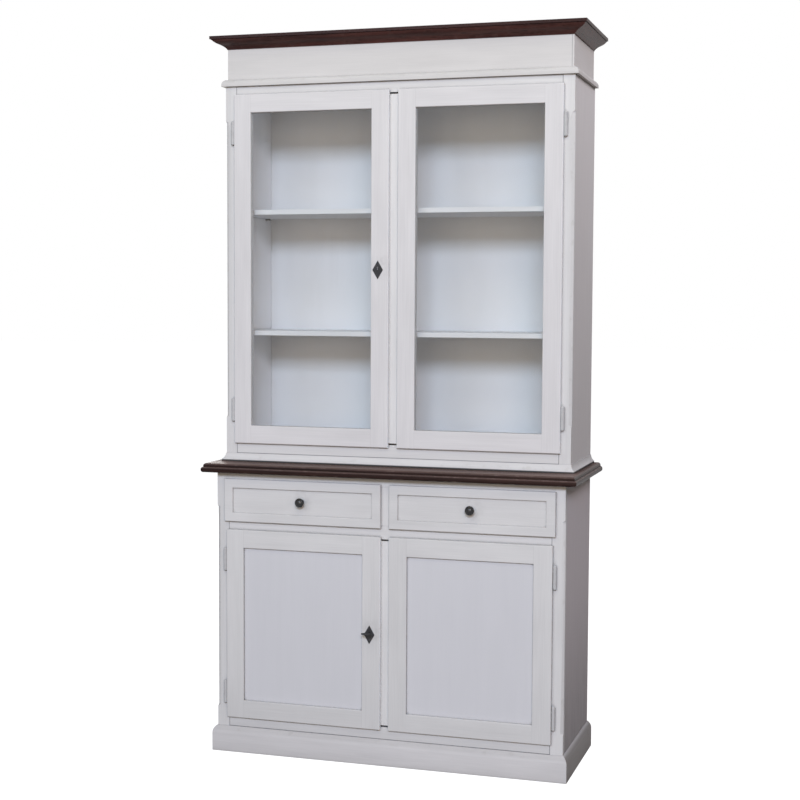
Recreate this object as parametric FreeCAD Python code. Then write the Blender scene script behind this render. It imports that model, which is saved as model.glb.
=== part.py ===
import FreeCAD, Part
import math
import os

# Glazed dresser: a base with two drawers over two panelled doors, a worktop,
# and a hutch with two glazed doors, a frieze and a cornice.
# Millimetres. +Z is up and the front faces -Y. The origin is on the floor,
# below the middle of the worktop.

Vector = FreeCAD.Vector

# Carcass sizes
carcass_width = 1090.0
base_depth = 400.0
base_height = 872.0
worktop_thickness = 28.0
worktop_overhang = 41.0
worktop_side_overhang = 38.5
hutch_depth = 328.0
hutch_height = 1156.0

# Boards
side_thickness = 22.0
board_thickness = 18.0
shelf_thickness = 15.0
shelf_setback = 18.0
shelf_end_gap = 0.5
back_thickness = 8.0
back_rabbet = 10.0
housing_depth = 6.0

# Face frames
frame_thickness = 22.0
base_stile_width = 38.0
base_top_rail_height = 28.0
drawer_opening_height = 116.0
base_mid_rail_height = 41.0
base_floor_height = 116.0
base_bottom_rail_height = 62.0
hutch_stile_width = 35.0
hutch_top_rail_height = 34.0
hutch_bottom_rail_height = 64.0
base_post_width = 42.0
hutch_post_width = 44.0
post_back_thickness = 12.0
post_end_gap = 5.0
post_rail_lap = 18.0
rail_tenon_length = 16.0
rail_tenon_thickness = 8.0
rail_tenon_shoulder = 8.0
divider_tenon_length = 10.0
corner_chamfer = 6.0
base_chamfer_foot = 137.0
base_chamfer_head = 103.0
hutch_chamfer_foot = 135.0
hutch_chamfer_head = 104.0

# Doors: a lip in front of the face frame and a body inside the opening
door_lip_thickness = 12.0
door_body_thickness = 12.0
door_lap = 8.0
door_hinge_lap = 4.0
door_clearance = 2.0
door_rail_width = 56.0
base_door_stile_width = 57.0
hutch_door_stile_width = 55.0
door_edge_radius = 3.0
sticking_radius = 2.5
door_tenon_length = 30.0
door_tenon_thickness = 8.0
door_tenon_inset = 8.0
door_tenon_shoulder = 14.0
panel_thickness = 8.0
panel_recess = 8.0
panel_groove = 8.0
panel_expansion = 1.0
glass_thickness = 4.0
glass_recess = 10.0
glass_rebate = 8.0
glass_clearance = 0.5

# Barrel hinges
hinge_length = 74.0
hinge_barrel_radius = 5.5
hinge_gap = 0.5
hinge_bearing_gap = 0.2
hinge_pin_radius = 3.0
hinge_pin_length = 22.0
hinge_pin_clearance = 0.15
hinge_stud_radius = 2.5
hinge_stud_depth = 18.0
stud_clearance = 0.05
base_hinge_inset = 86.0
hutch_hinge_inset = 110.0
hinge_drop = 7.0

# Locks, escutcheons and key
lock_share = 0.5075
lock_backset = 33.0
lock_case_width = 34.0
lock_case_height = 60.0
lock_case_thickness = 9.0
lock_wall = 1.5
bolt_length = 26.0
bolt_height = 12.0
bolt_thickness = 5.0
bolt_web = 1.2
bolt_play = 0.2
bolt_throw = 10.0
strike_clearance = 1.0
escutcheon_width = 33.0
escutcheon_height = 56.0
escutcheon_thickness = 1.5
keyhole_rise = 8.0
keyhole_clearance = 0.4
key_shank_radius = 2.2
key_shank_exposed = 21.0
key_bit_length = 7.5
key_bit_depth = 4.0
key_bit_thickness = 2.4
key_bit_sweep_gap = 1.5
key_tip_gap = 3.0
key_bow_width = 32.0
key_bow_depth = 20.0
key_bow_thickness = 3.0
key_bow_rim = 4.5

# Drawers
drawer_outer_lap = 11.0
drawer_field_border = 28.0
drawer_field_recess = 6.0
drawer_side_thickness = 12.0
drawer_bottom_thickness = 6.0
drawer_bottom_rise = 10.0
drawer_groove = 6.0
drawer_head_room = 16.0
drawer_back_room = 30.0
runner_height = 20.0
runner_reach = 17.0
runner_guide_height = 30.0
knob_radius = 14.0
knob_projection = 30.0
knob_rise = 3.0
knob_rosette_radius = 8.0
knob_rosette_height = 3.0
knob_neck_radius = 4.0
knob_head_height = 16.0
knob_face_radius = 11.0
knob_rim_height = 9.0
knob_dome_height = 4.0
screw_radius = 2.0
screw_head_radius = 4.5
screw_head_height = 2.5
screw_depth_in_knob = 14.0

# Shelf pegs
peg_radius = 2.5
peg_depth = 10.0
peg_reach = 12.0
peg_width = 10.0
peg_thickness = 5.0
peg_inset = 45.0
hutch_shelf_shares = (0.309, 0.663)
base_shelf_share = 0.5

# Plinth
plinth_height = 78.0
plinth_projection = 14.0
plinth_square_height = 56.0
plinth_top_width = 2.0

# Hutch foot moulding
foot_height = 24.0
foot_projection = 12.0
foot_fillet_height = 5.0
foot_top_width = 2.0

# Frieze, frieze bead and cornice
frieze_height = 150.5
frieze_inset = 5.0
frieze_thickness = 20.0
bead_height = 21.0
bead_projection = 16.0
bead_fillet_height = 6.0
bead_top_width = 2.0
cornice_height = 37.0
cornice_projection = 43.5
cornice_foot_width = 2.0
cornice_foot_height = 2.0
cornice_top_fillet = 9.0
cornice_step_width = 4.0
cornice_step_height = 1.0

# Worktop edge
worktop_nose_height = 17.0
worktop_nose_radius = 7.0
worktop_step = 6.0
worktop_top_radius = 8.0

# Points of the cornice's ogee, as shares of its width and height
ogee_hollow_shares = (0.22, 0.29)
ogee_turn_shares = (0.5, 0.5)
ogee_round_shares = (0.78, 0.71)

# One overrun for all cuts, and the tolerance for picking edges
overrun = 5.0
mitre_reach = 60.0
edge_tolerance = 0.01
full_turn = 360.0
half = 0.5

# Planes worked out from the sizes
worktop_depth = base_depth + worktop_overhang
back_y = worktop_depth * half
base_front = back_y - base_depth
hutch_front = back_y - hutch_depth
worktop_front = back_y - worktop_depth
worktop_top = base_height + worktop_thickness
hutch_top = worktop_top + hutch_height
total_height = hutch_top + frieze_height

carcass_half = carcass_width * half
carcass_inner = carcass_half - side_thickness
base_opening = carcass_half - base_stile_width
hutch_opening = carcass_half - hutch_stile_width
base_post_half = base_post_width * half
hutch_post_half = hutch_post_width * half

drawer_opening_top = base_height - base_top_rail_height
drawer_opening_foot = drawer_opening_top - drawer_opening_height
cupboard_top = drawer_opening_foot - base_mid_rail_height
hutch_floor_top = worktop_top + hutch_bottom_rail_height
hutch_ceiling = hutch_top - hutch_top_rail_height
back_face = back_y - back_thickness
key_chamber_radius = key_bit_length + key_bit_sweep_gap


def box(x_span, y_span, z_span):
    """Block between two places on each axis."""
    low = [min(span) for span in (x_span, y_span, z_span)]
    size = [max(span) - min(span) for span in (x_span, y_span, z_span)]
    return Part.makeBox(size[0], size[1], size[2], Vector(low[0], low[1], low[2]))


def grown(span, amount):
    """Span made longer by the same amount at both ends."""
    return (min(span) - amount, max(span) + amount)


def about(middle, size):
    """Span of a size about its middle."""
    return (middle - size * half, middle + size * half)


def mirrored(shape):
    """The left-hand twin of a right-hand piece."""
    return shape.mirror(Vector(0, 0, 0), Vector(1, 0, 0))


def outline_face(start, runs, place):
    """Face inside a closed outline: a run of one point is straight, one of two is an arc."""
    edges = []
    here = start
    for run in runs + [[start]]:
        points = [place(*here)] + [place(*point) for point in run]
        curve = Part.Arc(*points) if len(run) > 1 else Part.LineSegment(*points)
        edges.append(curve.toShape())
        here = run[-1]
    return Part.Face(Part.Wire(edges))


def turned(start, runs, centre, axis, spread):
    """Solid turned about an axis from an outline of (radius, height) points."""
    face = outline_face(start, runs, lambda r, h: centre + spread * r + axis * h)
    return face.revolve(centre, axis, full_turn)


def upright_arc(start, end):
    """Middle and end of the arc that leaves its start upright."""
    run = end[0] - start[0]
    rise = end[1] - start[1]
    radius = (run * run + rise * rise) * half / run
    lean = (run - radius - radius, rise)
    reach = abs(radius) / math.hypot(*lean)
    return [(start[0] + radius + lean[0] * reach, start[1] + lean[1] * reach), end]


def level_arc(start, end):
    """Middle and end of the arc that arrives level at its end."""
    middle = upright_arc(end[::-1], start[::-1])[0]
    return [middle[::-1], end]


def export(node, *solids):
    """Write one node's solids."""
    shape = solids[0] if len(solids) == 1 else Part.makeCompound(list(solids))
    shape.exportStep("parts/" + node + ".step")


def export_pair(node, right):
    """Write a right-hand piece and its left-hand twin as two nodes."""
    export(node + "_right", right)
    export(node + "_left", mirrored(right))


def wedge(corners):
    """Upright prism as tall as the part over three plan corners."""
    low = [Vector(x, y, -overrun) for x, y in corners]
    face = Part.Face(Part.makePolygon(low + low[:1]))
    return face.extrude(Vector(0, 0, total_height + overrun + overrun))


def mitred_run(start, runs, half_width, front, foot):
    """Front length and two returns of a section, mitred at the front corners."""
    near = (half_width - mitre_reach, half_width + mitre_reach)
    deep = (front - mitre_reach, front + mitre_reach)
    behind = wedge([(near[1], deep[0]), (near[0], deep[1]), (near[1], deep[1])])
    before = wedge([(near[1], deep[0]), (near[0], deep[1]), (near[0], deep[0])])
    across = outline_face(start, runs, lambda p, h: Vector(-near[1], front - p, foot + h))
    length = across.extrude(Vector(near[1] + near[1], 0, 0)).cut(behind).cut(mirrored(behind))
    along = outline_face(start, runs, lambda p, h: Vector(half_width + p, deep[0], foot + h))
    side = along.extrude(Vector(0, back_y - deep[0], 0)).cut(before)
    return [length, side, mirrored(side)]


def stop_chamfer(front, foot, head):
    """Cutter for a chamfer on a front corner that runs out at both ends."""
    out = Vector(1, -1, 0).normalize()
    along = Vector(1, 1, 0).normalize()
    corner = Vector(carcass_half, front, 0)
    points = [
        (overrun, foot - overrun),
        (-corner_chamfer, foot + corner_chamfer),
        (-corner_chamfer, head - corner_chamfer),
        (overrun, head + overrun),
    ]
    reach = corner_chamfer + overrun
    low = [corner + out * n - along * reach + Vector(0, 0, z) for n, z in points]
    face = Part.Face(Part.makePolygon(low + low[:1]))
    return face.extrude(along * (reach + reach))


# Carcass boards


def carcass_side(front, foot, head, housings):
    """Right side board with a rabbet for the back and housings for the boards let into it."""
    side = box((carcass_inner, carcass_half), (front + frame_thickness, back_y), (foot, head))
    rabbet = (carcass_inner, carcass_inner + back_rabbet)
    side = side.cut(box(rabbet, (back_face, back_y), (foot, head)))
    for board in housings:
        side = side.cut(board)
    return side


def level_board(front, foot, head):
    """Floor or ceiling let into both sides, from the face frame to the back."""
    span = grown((-carcass_inner, carcass_inner), housing_depth)
    return box(span, (front + frame_thickness, back_face), (foot, head))


def back_board(foot, head):
    """Back panel in the rabbets of the sides."""
    return box(grown((-carcass_inner, carcass_inner), back_rabbet), (back_face, back_y), (foot, head))


def shelf_board(front, foot):
    """Loose shelf on pegs."""
    span = grown((-carcass_inner, carcass_inner), -shelf_end_gap)
    face = front + frame_thickness + shelf_setback
    return box(span, (face, back_face), (foot, foot + shelf_thickness))


def peg_places(front):
    """Depths of the two pegs at one end of a shelf."""
    return (front + frame_thickness + shelf_setback + peg_inset, back_face - peg_inset)


def shelf_pegs(front, foot):
    """Right-hand pegs under one shelf, each with a flat tongue below the shelf."""
    pegs = []
    for y in peg_places(front):
        middle = foot - peg_thickness * half
        start = Vector(carcass_inner, y, middle)
        stem = Part.makeCylinder(peg_radius, peg_depth, start, Vector(1, 0, 0))
        reach = (carcass_inner - peg_reach, carcass_inner)
        tongue = box(reach, about(y, peg_width), (foot - peg_thickness, foot))
        pegs.append(stem.fuse(tongue))
    return pegs


def peg_holes(front, foot):
    """Cutters for the right-hand peg holes of one shelf."""
    holes = []
    for y in peg_places(front):
        mouth = Vector(carcass_inner - overrun, y, foot - peg_thickness * half)
        depth = peg_depth + overrun
        holes.append(Part.makeCylinder(peg_radius + stud_clearance, depth, mouth, Vector(1, 0, 0)))
    return holes


# Face frames


def rail_tenons(opening, front, foot, head):
    """Right and left tenons of a face-frame rail."""
    middle = front + frame_thickness * half
    depth = about(middle, rail_tenon_thickness)
    tall = (foot + rail_tenon_shoulder, head - rail_tenon_shoulder)
    right = box((opening, opening + rail_tenon_length), depth, tall)
    return [right, mirrored(right)]


def frame_rail(opening, front, foot, head):
    """Face-frame rail between the stiles, with a tenon at each end."""
    rail = box((-opening, opening), (front, front + frame_thickness), (foot, head))
    return rail.multiFuse(rail_tenons(opening, front, foot, head)).removeSplitter()


def frame_stile(opening, front, span, rails, chamfer):
    """Right face-frame stile with mortises for its rails and a stopped chamfer."""
    stile = box((opening, carcass_half), (front, front + frame_thickness), span)
    for foot, head in rails:
        stile = stile.cut(rail_tenons(opening, front, foot, head)[0])
    return stile.cut(stop_chamfer(front, *chamfer))


def centre_post(half_width, front, opening, back_span):
    """Strip between two doors: short of the rails in front, longer in its back layer."""
    shown = (opening[0] + post_end_gap, opening[1] - post_end_gap)
    behind = front + frame_thickness
    strip = box((-half_width, half_width), (front, behind), shown)
    layer = box((-half_width, half_width), (behind, behind + post_back_thickness), back_span)
    return strip.fuse(layer).removeSplitter()


# Doors


def front_edges(shape, y, x_span, z_span):
    """Edges in one front plane with their middles inside a rectangle."""
    wide = grown(x_span, edge_tolerance)
    tall = grown(z_span, edge_tolerance)
    found = []
    for edge in shape.Edges:
        middle = edge.CenterOfMass
        flat = all(abs(vertex.Y - y) < edge_tolerance for vertex in edge.Vertexes)
        if flat and wide[0] < middle.x < wide[1] and tall[0] < middle.z < tall[1]:
            found.append(edge)
    return found


def lipped_block(x_span, z_span, plane, laps):
    """Front board with rounded front edges and a lip round the body that enters the opening."""
    front = plane - door_lip_thickness
    back = plane + door_body_thickness
    block = box(x_span, (front, back), z_span)
    block = block.makeFillet(door_edge_radius, front_edges(block, front, x_span, z_span))
    body_x = (x_span[0] + laps[0] + door_clearance, x_span[1] - laps[1] - door_clearance)
    body_z = grown(z_span, -door_lap - door_clearance)
    around = box(grown(x_span, overrun), (plane, back + overrun), grown(z_span, overrun))
    around = around.cut(box(body_x, (plane, back + overrun), body_z))
    return block.cut(around)


def door_tenons(x_span, z_span, plane, stile):
    """Tenons of the two door rails, right and left ends of each."""
    start = plane - door_lip_thickness + door_tenon_inset
    depth = (start, start + door_tenon_thickness)
    ends = (
        (x_span[0] + stile - door_tenon_length, x_span[0] + stile),
        (x_span[1] - stile, x_span[1] - stile + door_tenon_length),
    )
    feet = (z_span[0], z_span[1] - door_rail_width)
    tall = [grown((foot, foot + door_rail_width), -door_tenon_shoulder) for foot in feet]
    return [[box(end, depth, height) for end in ends] for height in tall]


def door_members(x_span, z_span, plane, stile, groove):
    """Meeting stile, hinge stile, bottom rail and top rail of a right-hand door."""
    front = plane - door_lip_thickness
    back = plane + door_body_thickness
    sight_x = grown(x_span, -stile)
    sight_z = grown(z_span, -door_rail_width)
    ring = lipped_block(x_span, z_span, plane, (door_lap, door_hinge_lap))
    ring = ring.cut(box(sight_x, grown((front, back), overrun), sight_z))
    ring = ring.makeFillet(sticking_radius, front_edges(ring, front, sight_x, sight_z))
    ring = ring.cut(groove)
    depth = grown((front, back), overrun)
    tall = grown(z_span, overrun)
    meeting = ring.common(box((x_span[0] - overrun, sight_x[0]), depth, tall))
    hinged = ring.common(box((sight_x[1], x_span[1] + overrun), depth, tall))
    bottom = ring.common(box(sight_x, depth, (tall[0], sight_z[0])))
    top = ring.common(box(sight_x, depth, (sight_z[1], tall[1])))
    low_tenons, high_tenons = door_tenons(x_span, z_span, plane, stile)
    for meeting_tenon, hinge_tenon in (low_tenons, high_tenons):
        meeting = meeting.cut(meeting_tenon)
        hinged = hinged.cut(hinge_tenon)
    bottom = bottom.multiFuse(low_tenons).removeSplitter()
    top = top.multiFuse(high_tenons).removeSplitter()
    return [meeting, hinged, bottom, top]


def panel_box(sight_x, sight_z, plane, margin):
    """Flat panel reaching a margin past the sight edges."""
    face = plane - door_lip_thickness + panel_recess
    return box(grown(sight_x, margin), (face, face + panel_thickness), grown(sight_z, margin))


def glazing_beads(sight_x, sight_z, front, back):
    """Four strips that hold the pane in its rebate."""
    wide = grown(sight_x, glass_rebate)
    tall = grown(sight_z, glass_rebate)
    depth = (front, back)
    return [
        box(wide, depth, (tall[0], sight_z[0])),
        box(wide, depth, (sight_z[1], tall[1])),
        box((wide[0], sight_x[0]), depth, sight_z),
        box((sight_x[1], wide[1]), depth, sight_z),
    ]


# Hinges


def hinge_axis(door_edge, plane):
    """Plan place of the barrel beside a right-hand door's lip."""
    stand_off = hinge_barrel_radius + hinge_gap
    return Vector(door_edge + stand_off, plane - stand_off, 0)


def hinge_heights(z_span, inset):
    """Heights of the joints between the two halves of a door's hinges."""
    return (z_span[0] + inset - hinge_drop, z_span[1] - inset - hinge_drop)


def barrel(centre, up):
    """Half barrel from its flat joint to its rounded end."""
    length = hinge_length * half
    radius = hinge_barrel_radius
    shoulder = (radius, length - radius)
    runs = [[(radius, 0)], [shoulder], upright_arc(shoulder, (0, length))]
    return turned((0, 0), runs, centre, Vector(0, 0, up), Vector(1, 0, 0))


def door_stud(axis, height, radius=hinge_stud_radius):
    """Stud that runs from the barrel into the door's edge."""
    start = axis + Vector(0, 0, height + hinge_length * half * half)
    length = hinge_barrel_radius + hinge_gap + hinge_stud_depth
    return Part.makeCylinder(radius, length, start, Vector(-1, 0, 0))


def frame_stud(axis, height, radius=hinge_stud_radius):
    """Stud that runs from the barrel into the face of the stile."""
    start = axis + Vector(0, 0, height - hinge_length * half * half)
    length = hinge_barrel_radius + hinge_gap + hinge_stud_depth
    return Part.makeCylinder(radius, length, start, Vector(0, 1, 0))


def door_hinge(axis, height):
    """Upper half of a hinge with its bore and door stud."""
    joint = axis + Vector(0, 0, height)
    bore_depth = hinge_pin_length + hinge_gap
    bore = Part.makeCylinder(hinge_pin_radius + hinge_pin_clearance, bore_depth, joint)
    upper = barrel(joint + Vector(0, 0, hinge_bearing_gap), 1)
    return upper.fuse(door_stud(axis, height)).cut(bore).removeSplitter()


def frame_hinge(axis, height):
    """Lower half of a hinge with its pin and frame stud."""
    joint = axis + Vector(0, 0, height)
    pin = Part.makeCylinder(hinge_pin_radius, hinge_pin_length, joint)
    return barrel(joint, -1).fuse(frame_stud(axis, height)).fuse(pin).removeSplitter()


def drilled(piece, studs):
    """Piece with a hole for each stud."""
    for stud in studs:
        piece = piece.cut(stud)
    return piece


# Locks and key, on the left-hand doors


def lock_places(meeting_edge, plane, z_span):
    """Key axis, edge of the door's body and back of the door for one lock."""
    height = z_span[0] + (z_span[1] - z_span[0]) * lock_share
    key = Vector(meeting_edge - lock_backset, plane - door_lip_thickness, height)
    return key, meeting_edge - door_lap - door_clearance, plane + door_body_thickness


def keyhole(key, y_span):
    """Round hole with a slot below it for the key's bit."""
    radius = key_shank_radius + keyhole_clearance
    depth = max(y_span) - min(y_span)
    hole = Part.makeCylinder(radius, depth, Vector(key.x, min(y_span), key.z), Vector(0, 1, 0))
    wide = about(key.x, key_bit_thickness + keyhole_clearance + keyhole_clearance)
    slot = box(wide, y_span, (key.z - key_bit_length - keyhole_clearance, key.z))
    return hole.fuse(slot)


def lock_block(edge, back, key):
    """Outer block of a lock case let into the back of the door."""
    tall = about(key.z, lock_case_height)
    return box((edge - lock_case_width, edge), (back - lock_case_thickness, back), tall)


def bolt_box(edge, back, key, play, throw):
    """Bolt from its heel to its tip, with play all round and a throw past the edge."""
    middle = back - lock_case_thickness * half
    wide = (edge - bolt_length - play, edge + throw)
    foot = key.z + key_chamber_radius + bolt_web
    return box(wide, grown(about(middle, bolt_thickness), play), grown((foot, foot + bolt_height), play))


def lock_case(edge, back, key):
    """Lock case with its bolt channel, key chamber and keyhole."""
    face = back - lock_case_thickness
    case = lock_block(edge, back, key).cut(bolt_box(edge, back, key, bolt_play, overrun))
    chamber_depth = lock_case_thickness - lock_wall - lock_wall
    start = Vector(key.x, face + lock_wall, key.z)
    chamber = Part.makeCylinder(key_chamber_radius, chamber_depth, start, Vector(0, 1, 0))
    return case.cut(chamber).cut(keyhole(key, (face - overrun, face + lock_wall)))


def escutcheon(key):
    """Lozenge plate with a keyhole."""
    front = key.y - escutcheon_thickness
    middle = key.z - keyhole_rise
    wide = escutcheon_width * half
    tall = escutcheon_height * half
    points = [(wide, 0), (0, tall), (-wide, 0), (0, -tall)]
    corners = [Vector(key.x + x, front, middle + z) for x, z in points]
    face = Part.Face(Part.makePolygon(corners + corners[:1]))
    plate = face.extrude(Vector(0, escutcheon_thickness, 0))
    return plate.cut(keyhole(key, grown((front, key.y), overrun)))


def key_piece(key, back):
    """Key with its bit in the lock and its bow lying level."""
    outside = key.y - escutcheon_thickness - key_shank_exposed
    tip = back - key_tip_gap
    start = Vector(key.x, outside, key.z)
    shank = Part.makeCylinder(key_shank_radius, tip - outside, start, Vector(0, 1, 0))
    reach = (key.x - key_bit_length, key.x)
    bit = box(reach, (tip - key_bit_depth, tip), about(key.z, key_bit_thickness))
    rise = Vector(0, 0, key_bow_thickness)
    wide = key_bow_width * half
    deep = key_bow_depth * half
    middle = start - Vector(0, deep - key_bow_rim * half, 0) - rise * half
    outer = Part.Face(Part.Wire(Part.Ellipse(middle, wide, deep).toShape())).extrude(rise)
    hole_curve = Part.Ellipse(middle, wide - key_bow_rim, deep - key_bow_rim)
    hole = Part.Face(Part.Wire(hole_curve.toShape())).extrude(rise)
    return outer.cut(hole).fuse(shank).fuse(bit).removeSplitter()


# Drawers


def drawer_front(x_span, z_span, plane):
    """Lipped front with a recessed field."""
    front = plane - door_lip_thickness
    block = lipped_block(x_span, z_span, plane, (door_lap, drawer_outer_lap))
    field_x = grown(x_span, -drawer_field_border)
    field_z = grown(z_span, -drawer_field_border)
    block = block.cut(box(field_x, (front - overrun, front + drawer_field_recess), field_z))
    return block.makeFillet(sticking_radius, front_edges(block, front, field_x, field_z))


def drawer_walls(body_x, start, end, foot, head):
    """Right and left sides and the back of a drawer box, grooved for its bottom."""
    inner = grown(body_x, -drawer_side_thickness)
    right = box((inner[1], body_x[1]), (start - drawer_groove, end), (foot, head))
    left = box((body_x[0], inner[0]), (start - drawer_groove, end), (foot, head))
    rise = foot + drawer_bottom_rise + drawer_bottom_thickness
    back = box(inner, (end - drawer_side_thickness, end), (rise, head))
    return [right, left, back]


def drawer_knob(middle, seat):
    """Turned knob with a rosette, drilled for its screw."""
    neck_top = knob_projection - knob_head_height
    rim_top = knob_projection - knob_dome_height
    rim_foot = rim_top - knob_rim_height
    runs = [
        [(knob_rosette_radius, 0)],
        [(knob_rosette_radius, knob_rosette_height)],
        [(knob_neck_radius, knob_rosette_height)],
        [(knob_neck_radius, neck_top)],
        [(knob_face_radius, rim_foot)],
        [(knob_radius, rim_foot + knob_rim_height * half), (knob_face_radius, rim_top)],
        level_arc((knob_face_radius, rim_top), (0, knob_projection)),
    ]
    centre = Vector(middle[0], seat, middle[1])
    knob = turned((0, 0), runs, centre, Vector(0, -1, 0), Vector(1, 0, 0))
    depth = screw_depth_in_knob + stud_clearance
    bore = Part.makeCylinder(screw_radius + stud_clearance, depth, centre, Vector(0, -1, 0))
    return knob.cut(bore)


def knob_screw(middle, seat, back, radius=screw_radius):
    """Screw from inside the drawer front into the knob."""
    head_end = back + screw_head_height
    start = Vector(middle[0], head_end, middle[1])
    length = head_end - seat + screw_depth_in_knob
    shank = Part.makeCylinder(radius, length, start, Vector(0, -1, 0))
    head = Part.makeCylinder(screw_head_radius, screw_head_height, start, Vector(0, -1, 0))
    return shank.fuse(head).removeSplitter()


def drawer_runners():
    """Outer runners with guides and a shared middle runner, behind the mid rail."""
    depth = (base_front + frame_thickness, back_face)
    top = drawer_opening_foot
    tread = (top - runner_height, top)
    guide = (top, top + runner_guide_height)
    outer = box((base_opening - runner_reach, carcass_inner), depth, tread)
    outer = outer.fuse(box((base_opening, carcass_inner), depth, guide)).removeSplitter()
    reach = base_post_half + runner_reach
    middle = box((-reach, reach), depth, tread)
    middle = middle.fuse(box((-base_post_half, base_post_half), depth, guide)).removeSplitter()
    return [middle, outer, mirrored(outer)]


# Mouldings


def plinth():
    """Plinth boards with a rounded top edge."""
    square = (plinth_projection, plinth_square_height)
    runs = [
        [(plinth_projection, 0)],
        [square],
        upright_arc(square, (plinth_top_width, plinth_height)),
        [(0, plinth_height)],
    ]
    return mitred_run((0, 0), runs, carcass_half, base_front, 0)


def foot_moulding():
    """Hollow moulding round the foot of the hutch."""
    start = (foot_projection, foot_fillet_height)
    end = (foot_top_width, foot_height)
    middle = upright_arc(end, start)[0]
    runs = [[(foot_projection, 0)], [start], [middle, end], [(0, foot_height)]]
    return mitred_run((0, 0), runs, carcass_half, hutch_front, worktop_top)


def frieze_run(start, runs, foot):
    """Section carried round the face of the frieze."""
    return mitred_run(start, runs, carcass_half - frieze_inset, hutch_front + frieze_inset, foot)


def frieze():
    """Frieze boards standing on the hutch."""
    runs = [[(-frieze_thickness, 0)], [(-frieze_thickness, frieze_height)], [(0, frieze_height)]]
    return frieze_run((0, 0), runs, hutch_top)


def frieze_bead():
    """Bead with a rounded top round the foot of the frieze."""
    start = (bead_projection, bead_fillet_height)
    end = (bead_top_width, bead_height)
    runs = [[(bead_projection, 0)], [start], upright_arc(start, end), [(0, bead_height)]]
    return frieze_run((0, 0), runs, hutch_top)


def cornice():
    """Cornice with an ogee between a foot fillet and a top fillet."""
    edge = cornice_height - cornice_top_fillet
    low = (cornice_foot_width, cornice_foot_height)
    high = (cornice_projection - cornice_step_width, edge - cornice_step_height)
    wide = high[0] - low[0]
    tall = high[1] - low[1]

    def on_ogee(across, up):
        return (low[0] + wide * across, low[1] + tall * up)

    turn = on_ogee(*ogee_turn_shares)
    runs = [
        [(cornice_foot_width, 0)],
        [low],
        [on_ogee(*ogee_hollow_shares), turn],
        [on_ogee(*ogee_round_shares), high],
        [(high[0], edge)],
        [(cornice_projection, edge)],
        [(cornice_projection, cornice_height)],
        [(0, cornice_height)],
    ]
    return frieze_run((0, 0), runs, total_height - cornice_height)


def rounded_slab(half_width, front, z_span, radius, heights):
    """Slab with its front and side edges rounded at the given heights."""
    slab = box((-half_width, half_width), (front, back_y), z_span)
    edges = []
    for edge in slab.Edges:
        middle = edge.CenterOfMass
        level = any(abs(middle.z - height) < edge_tolerance for height in heights)
        if level and middle.y < back_y - edge_tolerance:
            edges.append(edge)
    return slab.makeFillet(radius, edges)


def worktop():
    """Worktop with a rounded nose below a stepped, rounded top edge."""
    half_width = carcass_half + worktop_side_overhang
    nose = (base_height, base_height + worktop_nose_height)
    lower = rounded_slab(half_width, worktop_front, nose, worktop_nose_radius, nose)
    top = (nose[1] - worktop_nose_radius, worktop_top)
    inner_front = worktop_front + worktop_step
    upper = rounded_slab(half_width - worktop_step, inner_front, top, worktop_top_radius, top[1:])
    return lower.fuse(upper).removeSplitter()


# Sub-assemblies


def build_base():
    """Base carcass, face frame, plinth, runners and worktop."""
    frame_back = base_front + frame_thickness
    floor = level_board(base_front, base_floor_height - board_thickness, base_floor_height)
    shelf_foot = base_floor_height + (cupboard_top - base_floor_height) * base_shelf_share
    holes = peg_holes(base_front, shelf_foot)
    export_pair("base_side", carcass_side(base_front, 0, base_height, [floor] + holes))
    export("base_floor", floor)
    export("base_back", back_board(base_floor_height - board_thickness, base_height))
    export("base_shelf", shelf_board(base_front, shelf_foot))
    top_rail = (drawer_opening_top, base_height)
    mid_rail = (cupboard_top, drawer_opening_foot)
    bottom_rail = (base_floor_height - base_bottom_rail_height, base_floor_height)
    tenon_depth = about(base_front + frame_thickness * half, rail_tenon_thickness)
    tenon_x = grown((-base_post_half, base_post_half), -rail_tenon_shoulder)
    between = (mid_rail[1], top_rail[0])
    tenon = box(tenon_x, tenon_depth, grown(between, divider_tenon_length))
    divider = box((-base_post_half, base_post_half), (base_front, frame_back), between)
    export("drawer_divider", divider.fuse(tenon).removeSplitter())
    export("base_top_rail", frame_rail(base_opening, base_front, *top_rail).cut(tenon))
    export("base_mid_rail", frame_rail(base_opening, base_front, *mid_rail).cut(tenon))
    export("base_bottom_rail", frame_rail(base_opening, base_front, *bottom_rail))
    chamfer = (base_chamfer_foot, base_height - base_chamfer_head)
    rails = (top_rail, mid_rail, bottom_rail)
    stile = frame_stile(base_opening, base_front, (0, base_height), rails, chamfer)
    export("drawer_runners", *drawer_runners())
    export("plinth", *plinth())
    export("worktop", worktop())
    return stile, shelf_pegs(base_front, shelf_foot)


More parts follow.
